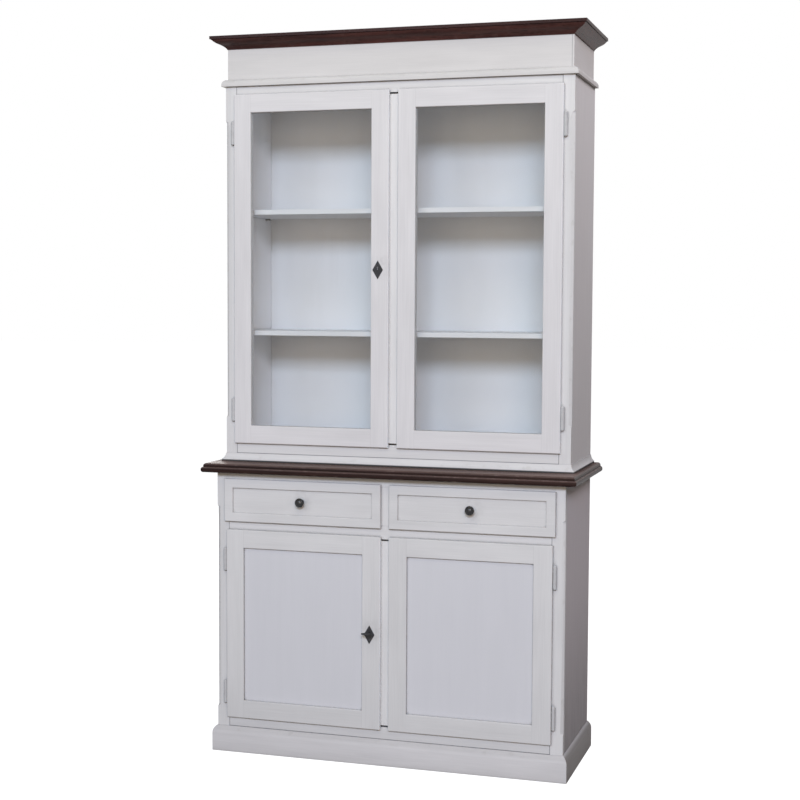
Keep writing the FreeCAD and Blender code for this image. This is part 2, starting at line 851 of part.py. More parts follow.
def build_hutch():
    """Hutch carcass, face frame, shelves, frieze and mouldings."""
    floor = level_board(hutch_front, hutch_floor_top - board_thickness, hutch_floor_top)
    ceiling = level_board(hutch_front, hutch_ceiling, hutch_ceiling + board_thickness)
    clear = hutch_ceiling - hutch_floor_top
    feet = [hutch_floor_top + clear * share for share in hutch_shelf_shares]
    holes = [hole for foot in feet for hole in peg_holes(hutch_front, foot)]
    boards = [floor, ceiling] + holes
    export_pair("hutch_side", carcass_side(hutch_front, worktop_top, hutch_top, boards))
    export("hutch_floor", floor)
    export("hutch_ceiling", ceiling)
    export("hutch_back", back_board(worktop_top, hutch_top))
    export("hutch_shelves", *[shelf_board(hutch_front, foot) for foot in feet])
    top_rail = (hutch_ceiling, hutch_top)
    bottom_rail = (worktop_top, hutch_floor_top)
    export("hutch_top_rail", frame_rail(hutch_opening, hutch_front, *top_rail))
    export("hutch_bottom_rail", frame_rail(hutch_opening, hutch_front, *bottom_rail))
    chamfer = (worktop_top + hutch_chamfer_foot, hutch_top - hutch_chamfer_head)
    span = (worktop_top, hutch_top)
    rails = (top_rail, bottom_rail)
    stile = frame_stile(hutch_opening, hutch_front, span, rails, chamfer)
    export("hutch_foot_moulding", *foot_moulding())
    export("frieze", *frieze())
    export("frieze_bead", *frieze_bead())
    export("cornice", *cornice())
    pegs = [peg for foot in feet for peg in shelf_pegs(hutch_front, foot)]
    return stile, pegs


def build_lock(name, meeting, key, edge, back):
    """Lock, bolt and escutcheon of a left-hand door, and the meeting stile cut for them."""
    wall = keyhole(key, (key.y - overrun, back - lock_case_thickness))
    export(name + "_lock_case", lock_case(edge, back, key))
    export(name + "_lock_bolt", bolt_box(edge, back, key, 0, 0))
    export(name + "_escutcheon", escutcheon(key))
    return meeting.cut(lock_block(edge, back, key)).cut(wall)


def build_doors(name, post, opening, plane, z_open, stile_width, inset, glazed):
    """Both doors of one pair; gives the hinge pieces for the frame and the post."""
    x_span = (post - door_lap, opening + door_hinge_lap)
    z_span = grown(z_open, door_lap)
    front = plane - door_lip_thickness
    back = plane + door_body_thickness
    sight_x = grown(x_span, -stile_width)
    sight_z = grown(z_span, -door_rail_width)
    if glazed:
        pane_face = front + glass_recess
        rebate = (pane_face, back + overrun)
        groove = box(grown(sight_x, glass_rebate), rebate, grown(sight_z, glass_rebate))
        margin = glass_rebate - glass_clearance
        depth = (pane_face, pane_face + glass_thickness)
        export_pair(name + "_door_glass", box(grown(sight_x, margin), depth, grown(sight_z, margin)))
        beads = glazing_beads(sight_x, sight_z, depth[1], back)
        export_pair(name + "_door_glazing_beads", Part.makeCompound(beads))
    else:
        groove = panel_box(sight_x, sight_z, plane, panel_groove + panel_expansion)
        export_pair(name + "_door_panel", panel_box(sight_x, sight_z, plane, panel_groove))
    meeting, hinged, bottom, top = door_members(x_span, z_span, plane, stile_width, groove)
    axis = hinge_axis(x_span[1], plane)
    heights = hinge_heights(z_span, inset)
    hinged = drilled(hinged, [door_stud(axis, z, hinge_stud_radius + stud_clearance) for z in heights])
    export_pair(name + "_door_hinge_halves", Part.makeCompound([door_hinge(axis, z) for z in heights]))
    export(name + "_door_frame_right", meeting, hinged, bottom, top)
    key, edge, door_back = lock_places(-x_span[0], plane, z_span)
    locked = build_lock(name, mirrored(meeting), key, edge, door_back)
    export(name + "_door_frame_left", locked, mirrored(hinged), mirrored(bottom), mirrored(top))
    strike = bolt_box(edge, door_back, key, strike_clearance, bolt_throw + strike_clearance)
    studs = [frame_stud(axis, z, hinge_stud_radius + stud_clearance) for z in heights]
    return studs, [frame_hinge(axis, z) for z in heights], strike, (key, door_back)


def build_drawers():
    """Both drawers, each a front, a box, a bottom and a knob with its screw."""
    x_span = (base_post_half - door_lap, base_opening + drawer_outer_lap)
    z_span = grown((drawer_opening_foot, drawer_opening_top), door_lap)
    body_x = (base_post_half + door_clearance, base_opening - door_clearance)
    start = base_front + door_body_thickness
    end = back_face - drawer_back_room
    foot = drawer_opening_foot
    walls = drawer_walls(body_x, start, end, foot, drawer_opening_top - drawer_head_room)
    inner = grown(body_x, -drawer_side_thickness)
    level = (foot + drawer_bottom_rise, foot + drawer_bottom_rise + drawer_bottom_thickness)
    bottom = box(grown(inner, drawer_groove), (start - drawer_groove, end), level)
    seat = base_front - door_lip_thickness + drawer_field_recess
    middle = (sum(x_span) * half, sum(z_span) * half + knob_rise)
    shank = knob_screw(middle, seat, start, screw_radius + stud_clearance)
    front = drawer_front(x_span, z_span, base_front).cut(shank)
    front = drilled(front, walls[:2] + [bottom])
    walls = [wall.cut(bottom) for wall in walls]
    export_pair("drawer_front", front)
    export_pair("drawer_box", Part.makeCompound(walls))
    export_pair("drawer_bottom", bottom)
    fixing = [drawer_knob(middle, seat), knob_screw(middle, seat, start)]
    export_pair("drawer_knob", Part.makeCompound(fixing))


def main():
    """Build every sub-part and write its file."""
    os.makedirs("parts", exist_ok=True)
    base_stile, base_pegs = build_base()
    hutch_stile, hutch_pegs = build_hutch()
    build_drawers()
    cupboard = (base_floor_height, cupboard_top)
    studs, base_hinges, strike, (key, back) = build_doors(
        "base", base_post_half, base_opening, base_front, cupboard,
        base_door_stile_width, base_hinge_inset, False)
    export("base_key", key_piece(key, back))
    base_stile = drilled(base_stile, studs)
    back_span = (cupboard[0], cupboard[1] + post_rail_lap)
    export("base_door_post", centre_post(base_post_half, base_front, cupboard, back_span).cut(strike))
    vitrine = (hutch_floor_top, hutch_ceiling)
    studs, hutch_hinges, strike, _ = build_doors(
        "hutch", hutch_post_half, hutch_opening, hutch_front, vitrine,
        hutch_door_stile_width, hutch_hinge_inset, True)
    hutch_stile = drilled(hutch_stile, studs)
    export("hutch_door_post", centre_post(hutch_post_half, hutch_front, vitrine, vitrine).cut(strike))
    export("base_stiles", base_stile, mirrored(base_stile))
    export("hutch_stiles", hutch_stile, mirrored(hutch_stile))
    hinges = base_hinges + hutch_hinges
    export("frame_hinge_halves", *hinges, *[mirrored(half_hinge) for half_hinge in hinges])
    pegs = base_pegs + hutch_pegs
    export("shelf_pegs", *pegs, *[mirrored(peg) for peg in pegs])


main()
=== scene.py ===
import logging
import math
from collections.abc import Iterable, Iterator, Sequence
from dataclasses import dataclass, replace
from enum import Enum
from functools import cached_property

import bmesh
import bpy
from mathutils import Matrix, Vector


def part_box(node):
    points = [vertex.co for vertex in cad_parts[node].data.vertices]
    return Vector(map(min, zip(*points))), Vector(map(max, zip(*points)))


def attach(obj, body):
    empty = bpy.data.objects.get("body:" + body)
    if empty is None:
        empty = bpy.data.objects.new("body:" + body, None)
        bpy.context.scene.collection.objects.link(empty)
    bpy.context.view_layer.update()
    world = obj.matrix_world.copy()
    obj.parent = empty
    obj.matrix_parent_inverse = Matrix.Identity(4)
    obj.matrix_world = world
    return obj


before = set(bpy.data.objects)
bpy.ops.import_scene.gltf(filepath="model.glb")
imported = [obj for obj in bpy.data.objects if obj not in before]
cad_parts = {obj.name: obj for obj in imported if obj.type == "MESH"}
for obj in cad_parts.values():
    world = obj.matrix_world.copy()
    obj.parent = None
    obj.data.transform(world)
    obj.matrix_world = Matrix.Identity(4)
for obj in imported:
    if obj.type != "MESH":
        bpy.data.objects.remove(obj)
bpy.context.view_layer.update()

log = logging.getLogger("dresser")

Colour = tuple[float, float, float]
Point = tuple[float, float, float]
Span = tuple[float, float]
Spot = tuple[float, float]

WHITE: Colour = (1.0, 1.0, 1.0)
NO_RAILS: Span = (0.0, 0.0)
EVEN = 0.5  # the middle of a noise pattern
RAIL_SHIFT = 7.3  # keeps a rail's strokes from running on out of a stile's
CREVICES: Span = (0.35, 0.85)  # how open the surroundings are, from a crevice to a free face
CREVICE_SAMPLES = 4
MARK_CORE = 0.2  # the inner share of a hand mark that doesn't fade
CRACK_AND_SHADOW_CORE = 0.5  # the inner share of a dark line that doesn't fade; the lines mark joints and painted shadows
FLAT_TOP = 0.9  # the least upward part of a flat top's normal


def linear(red: int, green: int, blue: int) -> Colour:
    """Turn an 8-bit screen colour into the linear colour a shader takes.

    Args:
        red: Red part, 0 to 255.
        green: Green part, 0 to 255.
        blue: Blue part, 0 to 255.

    Returns:
        The three linear parts, 0 to 1.
    """
    shares = (part / 255 for part in (red, green, blue))
    return tuple(s / 12.92 if s <= 0.04045 else ((s + 0.055) / 1.055) ** 2.4 for s in shares)


def scaled(colour: Colour, factor: float) -> Colour:
    """Return a colour with every part multiplied by one factor."""
    return tuple(part * factor for part in colour)


def middle_of(node: str) -> Spot:
    """Give the x and z of a CAD node's middle, as seen from the front."""
    low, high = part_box(node)
    return (low.x + high.x) / 2, (low.z + high.z) / 2


def top_of(node: str) -> float:
    """Give the height of a CAD node's top."""
    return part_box(node)[1].z


def opening_of(filling: str, lap: float) -> tuple[Span, Span]:
    """Give the opening in a door's frame, from the panel or pane that is let into it.

    Args:
        filling: The CAD node of the panel or pane.
        lap: How far it reaches into the frame all round.

    Returns:
        How far from the dresser's middle the opening starts and ends, and its lowest and
        highest point.
    """
    low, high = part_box(filling)
    near, far = sorted((abs(low.x), abs(high.x)))
    return (near + lap, far - lap), (low.z + lap, high.z - lap)


def spaced(start: float, end: float, spacing: float) -> list[float]:
    """Divide a length into equal parts.

    Args:
        start: Where it starts.
        end: Where it ends.
        spacing: About how long each part is.

    Returns:
        The middle of each part.
    """
    count = round(abs(end - start) / spacing)
    return [start + (index + 0.5) * (end - start) / count for index in range(count)]


class Side(Enum):
    """Which half of the dresser a door or drawer is in."""

    LEFT = "left"
    RIGHT = "right"

    @property
    def sign(self) -> int:
        """Give the sign of x on this side."""
        return -1 if self is Side.LEFT else 1


class Run(Enum):
    """Which way the grain and the brush strokes of a piece run."""

    ALONG_X = "x"
    ALONG_Y = "y"
    ALONG_Z = "z"
    ROUND_FRONT = "round"
    DOOR_FRAME = "frame"


class Signal:
    """A shader socket that carries one number, with arithmetic that adds Math nodes."""

    def __init__(self, tree: bpy.types.NodeTree, socket: bpy.types.NodeSocket) -> None:
        """Keep the tree and the socket."""
        self.tree = tree
        self.socket = socket

    def math(self, operation: str, *terms: "Signal | float") -> "Signal":
        """Add one Math node.

        Args:
            operation: The Math node's operation.
            terms: Its inputs in order, signals or plain numbers.

        Returns:
            The node's result.
        """
        node = self.tree.nodes.new("ShaderNodeMath")
        node.operation = operation
        for socket, term in zip(node.inputs, terms):
            if isinstance(term, Signal):
                self.tree.links.new(term.socket, socket)
            else:
                socket.default_value = term
        return Signal(self.tree, node.outputs[0])

    def __add__(self, other: "Signal | float") -> "Signal":
        """Add."""
        return self.math("ADD", self, other)

    __radd__ = __add__

    def __sub__(self, other: "Signal | float") -> "Signal":
        """Take away."""
        return self.math("SUBTRACT", self, other)

    def __rsub__(self, other: float) -> "Signal":
        """Take this from a number."""
        return self.math("SUBTRACT", other, self)

    def __neg__(self) -> "Signal":
        """Turn the sign round."""
        return 0 - self

    def __mul__(self, other: "Signal | float") -> "Signal":
        """Multiply."""
        return self.math("MULTIPLY", self, other)

    __rmul__ = __mul__

    def __pow__(self, power: float) -> "Signal":
        """Raise to a power."""
        return self.math("POWER", self, power)

    def __abs__(self) -> "Signal":
        """Drop the sign."""
        return self.math("ABSOLUTE", self)

    def __gt__(self, level: "Signal | float") -> "Signal":
        """Give 1 where this is above the level, and 0 elsewhere."""
        return self.math("GREATER_THAN", self, level)

    def most(self, other: "Signal | float") -> "Signal":
        """Give the larger of the two."""
        return self.math("MAXIMUM", self, other)

    def least(self, other: "Signal | float") -> "Signal":
        """Give the smaller of the two."""
        return self.math("MINIMUM", self, other)

    def wave(self) -> "Signal":
        """Give the sine."""
        return self.math("SINE", self)

    def swing(self, share: float) -> "Signal":
        """Give how far a pattern is from its middle, times a share."""
        return (self - EVEN) * share


Axes = tuple[Signal, Signal, Signal]
Feed = Signal | bpy.types.NodeSocket | float | tuple


@dataclass(frozen=True, kw_only=True)
class Pattern:
    """A noise: how many finer layers it has, how strong they are, and how far it bends."""

    detail: float = 2.0
    rough: float = 0.5
    bend: float = 0.0


@dataclass(frozen=True)
class Streaks(Pattern):
    """A noise that is drawn out along a piece, with its scales per metre."""

    along: float
    across: float


@dataclass(frozen=True)
class Clouds(Pattern):
    """A noise that is alike in every direction, with its scale per metre."""

    scale: float


class Recipe:
    """A node tree filled through one method, with the patterns that the finishes share."""

    def __init__(self, tree: bpy.types.NodeTree) -> None:
        """Empty the tree and keep it."""
        tree.nodes.clear()
        self.tree = tree

    def node(
        self, kind: str, settings: dict | None = None, sockets: dict | None = None
    ) -> bpy.types.Node:
        """Add a node.

        Args:
            kind: The node's type.
            settings: What is set on the node first. A ramp's stops are pairs of place and colour.
            sockets: Values or links of its inputs, by name or number.

        Returns:
            The new node.
        """
        node = self.tree.nodes.new(kind)
        for name, setting in (settings or {}).items():
            if name == "stops":
                elements = node.color_ramp.elements
                while len(elements) < len(setting):
                    elements.new(1.0)
                for element, (position, colour) in zip(elements, setting):
                    element.position = position
                    element.color = (*colour, 1.0)
            else:
                setattr(node, name, setting)
        for key, item in (sockets or {}).items():
            socket = node.inputs[key]
            if isinstance(item, Signal):
                self.tree.links.new(item.socket, socket)
            elif isinstance(item, bpy.types.NodeSocket):
                self.tree.links.new(item, socket)
            elif socket.type == "RGBA" and len(item) == 3:
                socket.default_value = (*item, 1.0)
            else:
                socket.default_value = item
        return node

    def number(self, node: bpy.types.Node, output: str | int = 0) -> Signal:
        """Wrap one of a node's outputs as a signal."""
        return Signal(self.tree, node.outputs[output])

    @cached_property
    def coordinates(self) -> bpy.types.Node:
        """Give the one Texture Coordinate node."""
        return self.node("ShaderNodeTexCoord")

    @cached_property
    def axes(self) -> Axes:
        """Give the x, y and z of the place on the object."""
        return self.split("Object")

    @cached_property
    def facing(self) -> Axes:
        """Give the x, y and z of the direction that the surface faces."""
        return self.split("Normal")

    def split(self, output: str) -> Axes:
        """Split one of the coordinates into its three parts."""
        parts = self.node("ShaderNodeSeparateXYZ", sockets={0: self.coordinates.outputs[output]})
        return self.number(parts, 0), self.number(parts, 1), self.number(parts, 2)

    def place(self, scale: float) -> bpy.types.NodeSocket:
        """Give the place on the object, multiplied by a scale."""
        sockets = {0: self.coordinates.outputs["Object"], "Scale": scale}
        return self.node("ShaderNodeVectorMath", {"operation": "SCALE"}, sockets).outputs[0]

    def vector(
        self, x: Signal | float, y: Signal | float, z: Signal | float
    ) -> bpy.types.NodeSocket:
        """Put three numbers together as a vector."""
        return self.node("ShaderNodeCombineXYZ", sockets={0: x, 1: y, 2: z}).outputs[0]

    def grain(self, pattern: Streaks, run: Run, rails: Span) -> bpy.types.NodeSocket:
        """Give coordinates stretched along the run of a piece.

        Args:
            pattern: The scales along the grain and across it.
            run: Which way the grain runs.
            rails: For a door frame, how far from the middle its rails start and end.

        Returns:
            The vector socket.
        """
        along, across = pattern.along, pattern.across
        x, y, z = self.axes
        if run is Run.ALONG_X:
            return self.vector(x * along, y * across, z * across)
        if run is Run.ALONG_Y:
            return self.vector(x * across, y * along, z * across)
        if run is Run.ROUND_FRONT:
            return self.vector((x + y) * along, (x - y) * along, z * across)
        upright = self.vector(x * across, y * across, z * along)
        if run is Run.ALONG_Z:
            return upright
        level = self.vector(x * along, y * across, z * across + RAIL_SHIFT)
        sockets = {0: self.between(abs(x), rails), 4: upright, 5: level}
        return self.node("ShaderNodeMix", {"data_type": "VECTOR"}, sockets).outputs[1]

    def between(self, signal: Signal, span: Span) -> Signal:
        """Give 1 where a signal lies between two levels, and 0 elsewhere."""
        return (signal > span[0]) * (1 - (signal > span[1]))

    def noise(self, vector: bpy.types.NodeSocket, pattern: Pattern) -> Signal:
        """Add a noise pattern.

        Args:
            vector: The coordinates, scaled already.
            pattern: The pattern's layers.

        Returns:
            The noise, about 0.5.
        """
        sockets = {
            "Vector": vector,
            "Scale": 1.0,
            "Detail": pattern.detail,
            "Roughness": pattern.rough,
            "Distortion": pattern.bend,
        }
        return self.number(self.node("ShaderNodeTexNoise", sockets=sockets))

    def streaks(self, pattern: Streaks, run: Run, rails: Span = NO_RAILS) -> Signal:
        """Draw a pattern out along the run of a piece."""
        return self.noise(self.grain(pattern, run, rails), pattern)

    def clouds(self, pattern: Clouds) -> Signal:
        """Spread a pattern over a piece."""
        return self.noise(self.place(pattern.scale), pattern)

    def step(self, signal: Signal, span: Span) -> Signal:
        """Rise smoothly from 0 to 1 between two levels of a signal."""
        sockets = {"Value": signal, "From Min": span[0], "From Max": span[1]}
        return self.number(
            self.node("ShaderNodeMapRange", {"interpolation_type": "SMOOTHSTEP"}, sockets)
        )

    def blend(self, share: Signal, first: Feed, second: Feed) -> bpy.types.NodeSocket:
        """Mix two colours.

        Args:
            share: How much of the second there is.
            first: The colour at a share of 0.
            second: The colour at a share of 1.

        Returns:
            The colour socket.
        """
        settings = {"data_type": "RGBA", "blend_type": "MIX", "clamp_factor": True}
        return self.node("ShaderNodeMix", settings, {0: share, 6: first, 7: second}).outputs[2]

    def toned(self, tone: Signal, colour: Colour, spread: float) -> bpy.types.NodeSocket:
        """Vary a colour from a little darker to a little lighter."""
        return self.blend(tone, scaled(colour, 1 - spread), scaled(colour, 1 + spread))

    def layered(self, colour: Feed, layers: Iterable[tuple[Signal, Feed]]) -> Feed:
        """Lay colours over a first one.

        Args:
            colour: The first colour.
            layers: How much of each further colour there is, and the colour, from the lowest up.

        Returns:
            The colour socket.
        """
        for share, over in layers:
            colour = self.blend(share, colour, over)
        return colour

    def ramp(self, signal: Signal, *stops: tuple[float, Colour]) -> bpy.types.NodeSocket:
        """Give the colour of a ramp at a signal."""
        return self.node("ShaderNodeValToRGB", {"stops": stops}, {"Fac": signal}).outputs["Color"]

    def relief(self, height: Signal, depth: float) -> bpy.types.NodeSocket:
        """Turn a height pattern from 0 to 1 into a normal, with its depth in metres."""
        sockets = {"Strength": 1.0, "Distance": depth, "Height": height}
        return self.node("ShaderNodeBump", sockets=sockets).outputs[0]

    def worn_edges(self, span: Span) -> Signal:
        """Give 1 on the eased edges between the faces of a square piece, and 0 on the faces."""
        x, y, z = self.facing
        return 1 - self.step(abs(x).most(abs(y)).most(abs(z)), span)

    def corner_shade_mask(self, reach: float) -> Signal:
        """Give 1 deep in the corners and gaps and 0 on open faces, a mask for painting shade there.

        Args:
            reach: How far away a surface still makes a corner, in metres.

        Returns:
            The mask of painted shade.
        """
        settings = {"samples": CREVICE_SAMPLES, "only_local": False}
        near = self.node("ShaderNodeAmbientOcclusion", settings, {"Distance": reach})
        return 1 - self.step(self.number(near, "AO"), CREVICES)

    def touched(self, spots: Sequence[Spot], radius: float) -> Signal:
        """Give 1 near places on the front that hands touch, fading to 0.

        Args:
            spots: The x and z of each place.
            radius: How far the marks reach.

        Returns:
            The mask.
        """
        x, _, z = self.axes
        mask: Signal | None = None
        for spot_x, spot_z in spots:
            distance = ((x - spot_x) ** 2 + (z - spot_z) ** 2) ** 0.5
            mark = 1 - self.step(distance, (radius * MARK_CORE, radius))
            mask = mark if mask is None else mask.most(mark)
        return mask

    def shown_to_eye(self) -> Signal:
        """Tell the rays that show a surface from those that light the room.

        Returns:
            1 for rays from the camera, from gloss and through glass, and 0 for the others.
        """
        rays = self.node("ShaderNodeLightPath")
        eye = self.number(rays, "Is Camera Ray")
        gloss = self.number(rays, "Is Glossy Ray")
        glass = self.number(rays, "Is Transmission Ray")
        return eye.most(gloss).most(glass)

    def principled(self, sockets: dict[str, Feed]) -> bpy.types.NodeSocket:
        """Add the shader of a solid surface."""
        return self.node("ShaderNodeBsdfPrincipled", sockets=sockets).outputs[0]

    def mixed(
        self, share: Signal, first: bpy.types.Node, second: bpy.types.Node
    ) -> bpy.types.NodeSocket:
        """Mix two shaders by the share of the second."""
        sockets = {0: share, 1: first.outputs[0], 2: second.outputs[0]}
        return self.node("ShaderNodeMixShader", sockets=sockets).outputs[0]

    def output(
        self, shader: bpy.types.NodeSocket, kind: str = "ShaderNodeOutputMaterial"
    ) -> None:
        """Send a shader to the tree's output."""
        self.node(kind, sockets={"Surface": shader})


made: dict["Finish", bpy.types.Material] = {}


@dataclass(frozen=True)
class Finish:
    """A finish, made once into a material."""

    name: str

    def material(self) -> bpy.types.Material:
        """Make the material, or give the one made before.

        Returns:
            The material.
        """
        if self not in made:
            made[self] = bpy.data.materials.new(self.name)
            made[self].use_nodes = True
            recipe = Recipe(made[self].node_tree)
            recipe.output(self.shader(recipe))
        return made[self]

    def shader(self, recipe: Recipe) -> bpy.types.NodeSocket:
        """Build the finish's nodes and give its shader."""
        raise NotImplementedError

    def dress(self, *names: str) -> list[str]:
        """Put this finish on CAD nodes.

        Args:
            names: The nodes.

        Returns:
            The names again, for the log.
        """
        for name in names:
            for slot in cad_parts[name].material_slots:
                slot.material = self.material()
        return list(names)


@dataclass(frozen=True)
class Brushwork:
    """What a brush leaves in paint: strokes, the lines of its bristles, and thicker clouds."""

    strokes: Streaks
    bristles: Streaks
    thickness: Clouds
    shares: tuple[float, float, float]
    ridges: Span = (0.6, 0.4)

    def lay(
        self, recipe: Recipe, run: Run, rails: Span = NO_RAILS
    ) -> tuple[Signal, Signal, Signal]:
        """Lay the patterns on.

        Args:
            recipe: The tree to fill.
            run: Which way the brush went.
            rails: For a door frame, how far from the middle its rails start and end.

        Returns:
            The strokes alone, the tone of the paint, and the height of its ridges.
        """
        strokes = recipe.streaks(self.strokes, run, rails)
        bristles = recipe.streaks(self.bristles, run, rails)
        thickness = recipe.clouds(self.thickness)
        by_stroke, by_bristle, by_thickness = self.shares
        tone = strokes.swing(by_stroke) + bristles.swing(by_bristle) + thickness.swing(by_thickness)
        return strokes, tone + EVEN, strokes * self.ridges[0] + bristles * self.ridges[1]


@dataclass(frozen=True)
class BrushedPaint(Finish):
    """White oil paint, brushed on by hand along each piece.

    Lengths are in metres. A share is how much of a layer there is at most, and a span is from
    where to where it sets in. Within inside_of from the middle a piece has the inside's colour,
    and within a given distance from the middle its upright edges are painted whiter in that
    colour, a painted highlight on the shaded edges of the door lips. Painted shade can darken
    corners, gaps, sideways faces and lower parts, and painted shadow lines can lie where a door
    lip shades a post and where the hutch's foot sits on the worktop.
    """

    run: Run = Run.ALONG_X
    rails: Span = NO_RAILS
    colour: Colour = linear(217, 214, 213)
    spread: float = 0.13
    inside: Colour = linear(247, 247, 249)
    inside_of: float = 0.0
    undercoat: Colour = linear(168, 160, 150)
    wear: float = 0.16
    edge_span: Span = (0.90, 0.99)
    wear_span: Span = (0.52, 0.66)
    # Painted shade: the crevice layer darkens corners, gaps and the wood under door lips towards
    # this colour, as far as reach; the same colour serves the real grime of joint lines, hand marks
    # and scuffs.
    grime_and_shade: Colour = linear(88, 86, 86)
    crevice_shade: float = 0.5
    reach: float = 0.010
    # darkens faces that look up, towards the same dark colour
    level_darkening: float = 0.0
    level_span: Span = (0.08, 0.5)
    # painted shade: darkens faces that look sideways
    side_shade: float = 0.0
    side_span: Span = (0.5, 0.9)
    # painted highlight: near the middle, upright edges that face sideways are lightened towards the
    # inside's colour, on the shaded edges of the door lips
    highlight_within: float = 0.0
    highlight_share: float = 0.9
    highlight_span: Span = (0.4, 0.8)
    seam_share: float = 0.12
    seam_span: Span = (0.0002, 0.0007)
    # dark lines across x and one along z at the foot line: real joint lines, and painted shadow
    # lines where a door lip shades a post and where the hutch's foot sits on the worktop
    joints: tuple[float, ...] = ()
    foot_line: float = 0.0
    crack_and_shadow_width: float = 0.0022
    crack_and_shadow_share: float = 0.9
    spots: tuple[Spot, ...] = ()
    mark_radius: float = 0.055
    mark_share: float = 0.16
    mark_span: Span = (0.35, 0.7)
    # darker towards the bottom, streaked: painted shade low on the base's sides, rails and lower
    # doors, and scuffs with painted shade along the plinth's foot
    scuffed_and_shaded_below: float = 0.0
    scuff_and_shade: float = 0.3
    low_streak_base: float = 0.5
    low_streak_swing: float = 0.6
    rough: float = 0.50
    rough_strokes: float = 0.25
    rough_flecks: float = 0.12
    gloss: float = 0.012
    relief: float = 0.00022
    brushwork: Brushwork = Brushwork(
        strokes=Streaks(3.4, 34.0, detail=3.0, bend=0.25),
        bristles=Streaks(7.0, 340.0),
        thickness=Clouds(3.1, detail=3.0, rough=0.55),
        shares=(0.65, 0.45, 0.55),
    )
    flecks: Clouds = Clouds(38.0, detail=4.0, rough=0.6)
    low_streaks: Streaks = Streaks(9.0, 60.0, detail=4.0, rough=0.65)

    def shader(self, recipe: Recipe) -> bpy.types.NodeSocket:
        """Build the paint.

        Args:
            recipe: The tree to fill.

        Returns:
            The shader socket.
        """
        strokes, tone, ridges = self.brushwork.lay(recipe, self.run, self.rails)
        flecks = recipe.clouds(self.flecks)
        colour = recipe.toned(tone, self.colour, self.spread)
        if self.inside_of:
            within = 1 - (abs(recipe.axes[0]) > self.inside_of)
            colour = recipe.blend(within, colour, recipe.toned(tone, self.inside, self.spread))
        rough = strokes.swing(self.rough_strokes) + self.rough + flecks.swing(self.rough_flecks)
        return recipe.principled(
            {
                "Base Color": recipe.layered(colour, self.layers(recipe, flecks)),
                "Roughness": rough,
                "Specular IOR Level": self.gloss,
                "Normal": recipe.relief(ridges, self.relief),
            }
        )

    def layers(self, recipe: Recipe, flecks: Signal) -> Iterator[tuple[Signal, Colour]]:
        """Give what lies over the fresh paint: wear, painted shade, painted highlights on edges,
        joint lines and painted shadow lines, hand marks, and a darker lower part.

        Args:
            recipe: The tree to fill.
            flecks: The pattern that breaks up the wear and the hand marks.

        Returns:
            How much of each layer there is, and its colour, from the lowest up.
        """
        x, _, z = recipe.axes
        aside, _, upward = recipe.facing
        worn = recipe.worn_edges(self.edge_span) * recipe.step(flecks, self.wear_span)
        yield worn * self.wear, self.undercoat
        # painted shade in corners, gaps and under door lips
        yield recipe.corner_shade_mask(self.reach) * self.crevice_shade, self.grime_and_shade
        if self.level_darkening:
            yield recipe.step(upward, self.level_span) * self.level_darkening, self.grime_and_shade
        # painted shade on faces that look sideways
        if self.side_shade:
            yield recipe.step(abs(aside), self.side_span) * self.side_shade, self.grime_and_shade
        # painted highlight on shaded upright edges near the middle
        if self.highlight_within:
            inner = 1 - (abs(x) > self.highlight_within)
            yield inner * recipe.step(abs(aside), self.highlight_span) * self.highlight_share, self.inside
        if self.rails != NO_RAILS:
            near, far = (abs(abs(x) - rail) for rail in self.rails)
            yield (1 - recipe.step(near.least(far), self.seam_span)) * self.seam_share, self.grime_and_shade
        lines = [(x, joint) for joint in self.joints]
        if self.foot_line:
            lines.append((z, self.foot_line))
        # dark joint lines and painted shadow lines
        for place, line in lines:
            fading = recipe.step(abs(place - line), (self.crack_and_shadow_width * CRACK_AND_SHADOW_CORE, self.crack_and_shadow_width))
            yield (1 - fading) * self.crack_and_shadow_share, self.grime_and_shade
        if self.spots:
            marks = recipe.touched(self.spots, self.mark_radius)
            yield marks * recipe.step(flecks, self.mark_span) * self.mark_share, self.grime_and_shade
        # painted shade with scuffs, darker towards the bottom
        if self.scuffed_and_shaded_below:
            low = 1 - recipe.step(z, (0.0, self.scuffed_and_shaded_below))
            low_streaks = recipe.streaks(self.low_streaks, self.run) * self.low_streak_swing + self.low_streak_base
            yield low * low_streaks * self.scuff_and_shade, self.grime_and_shade


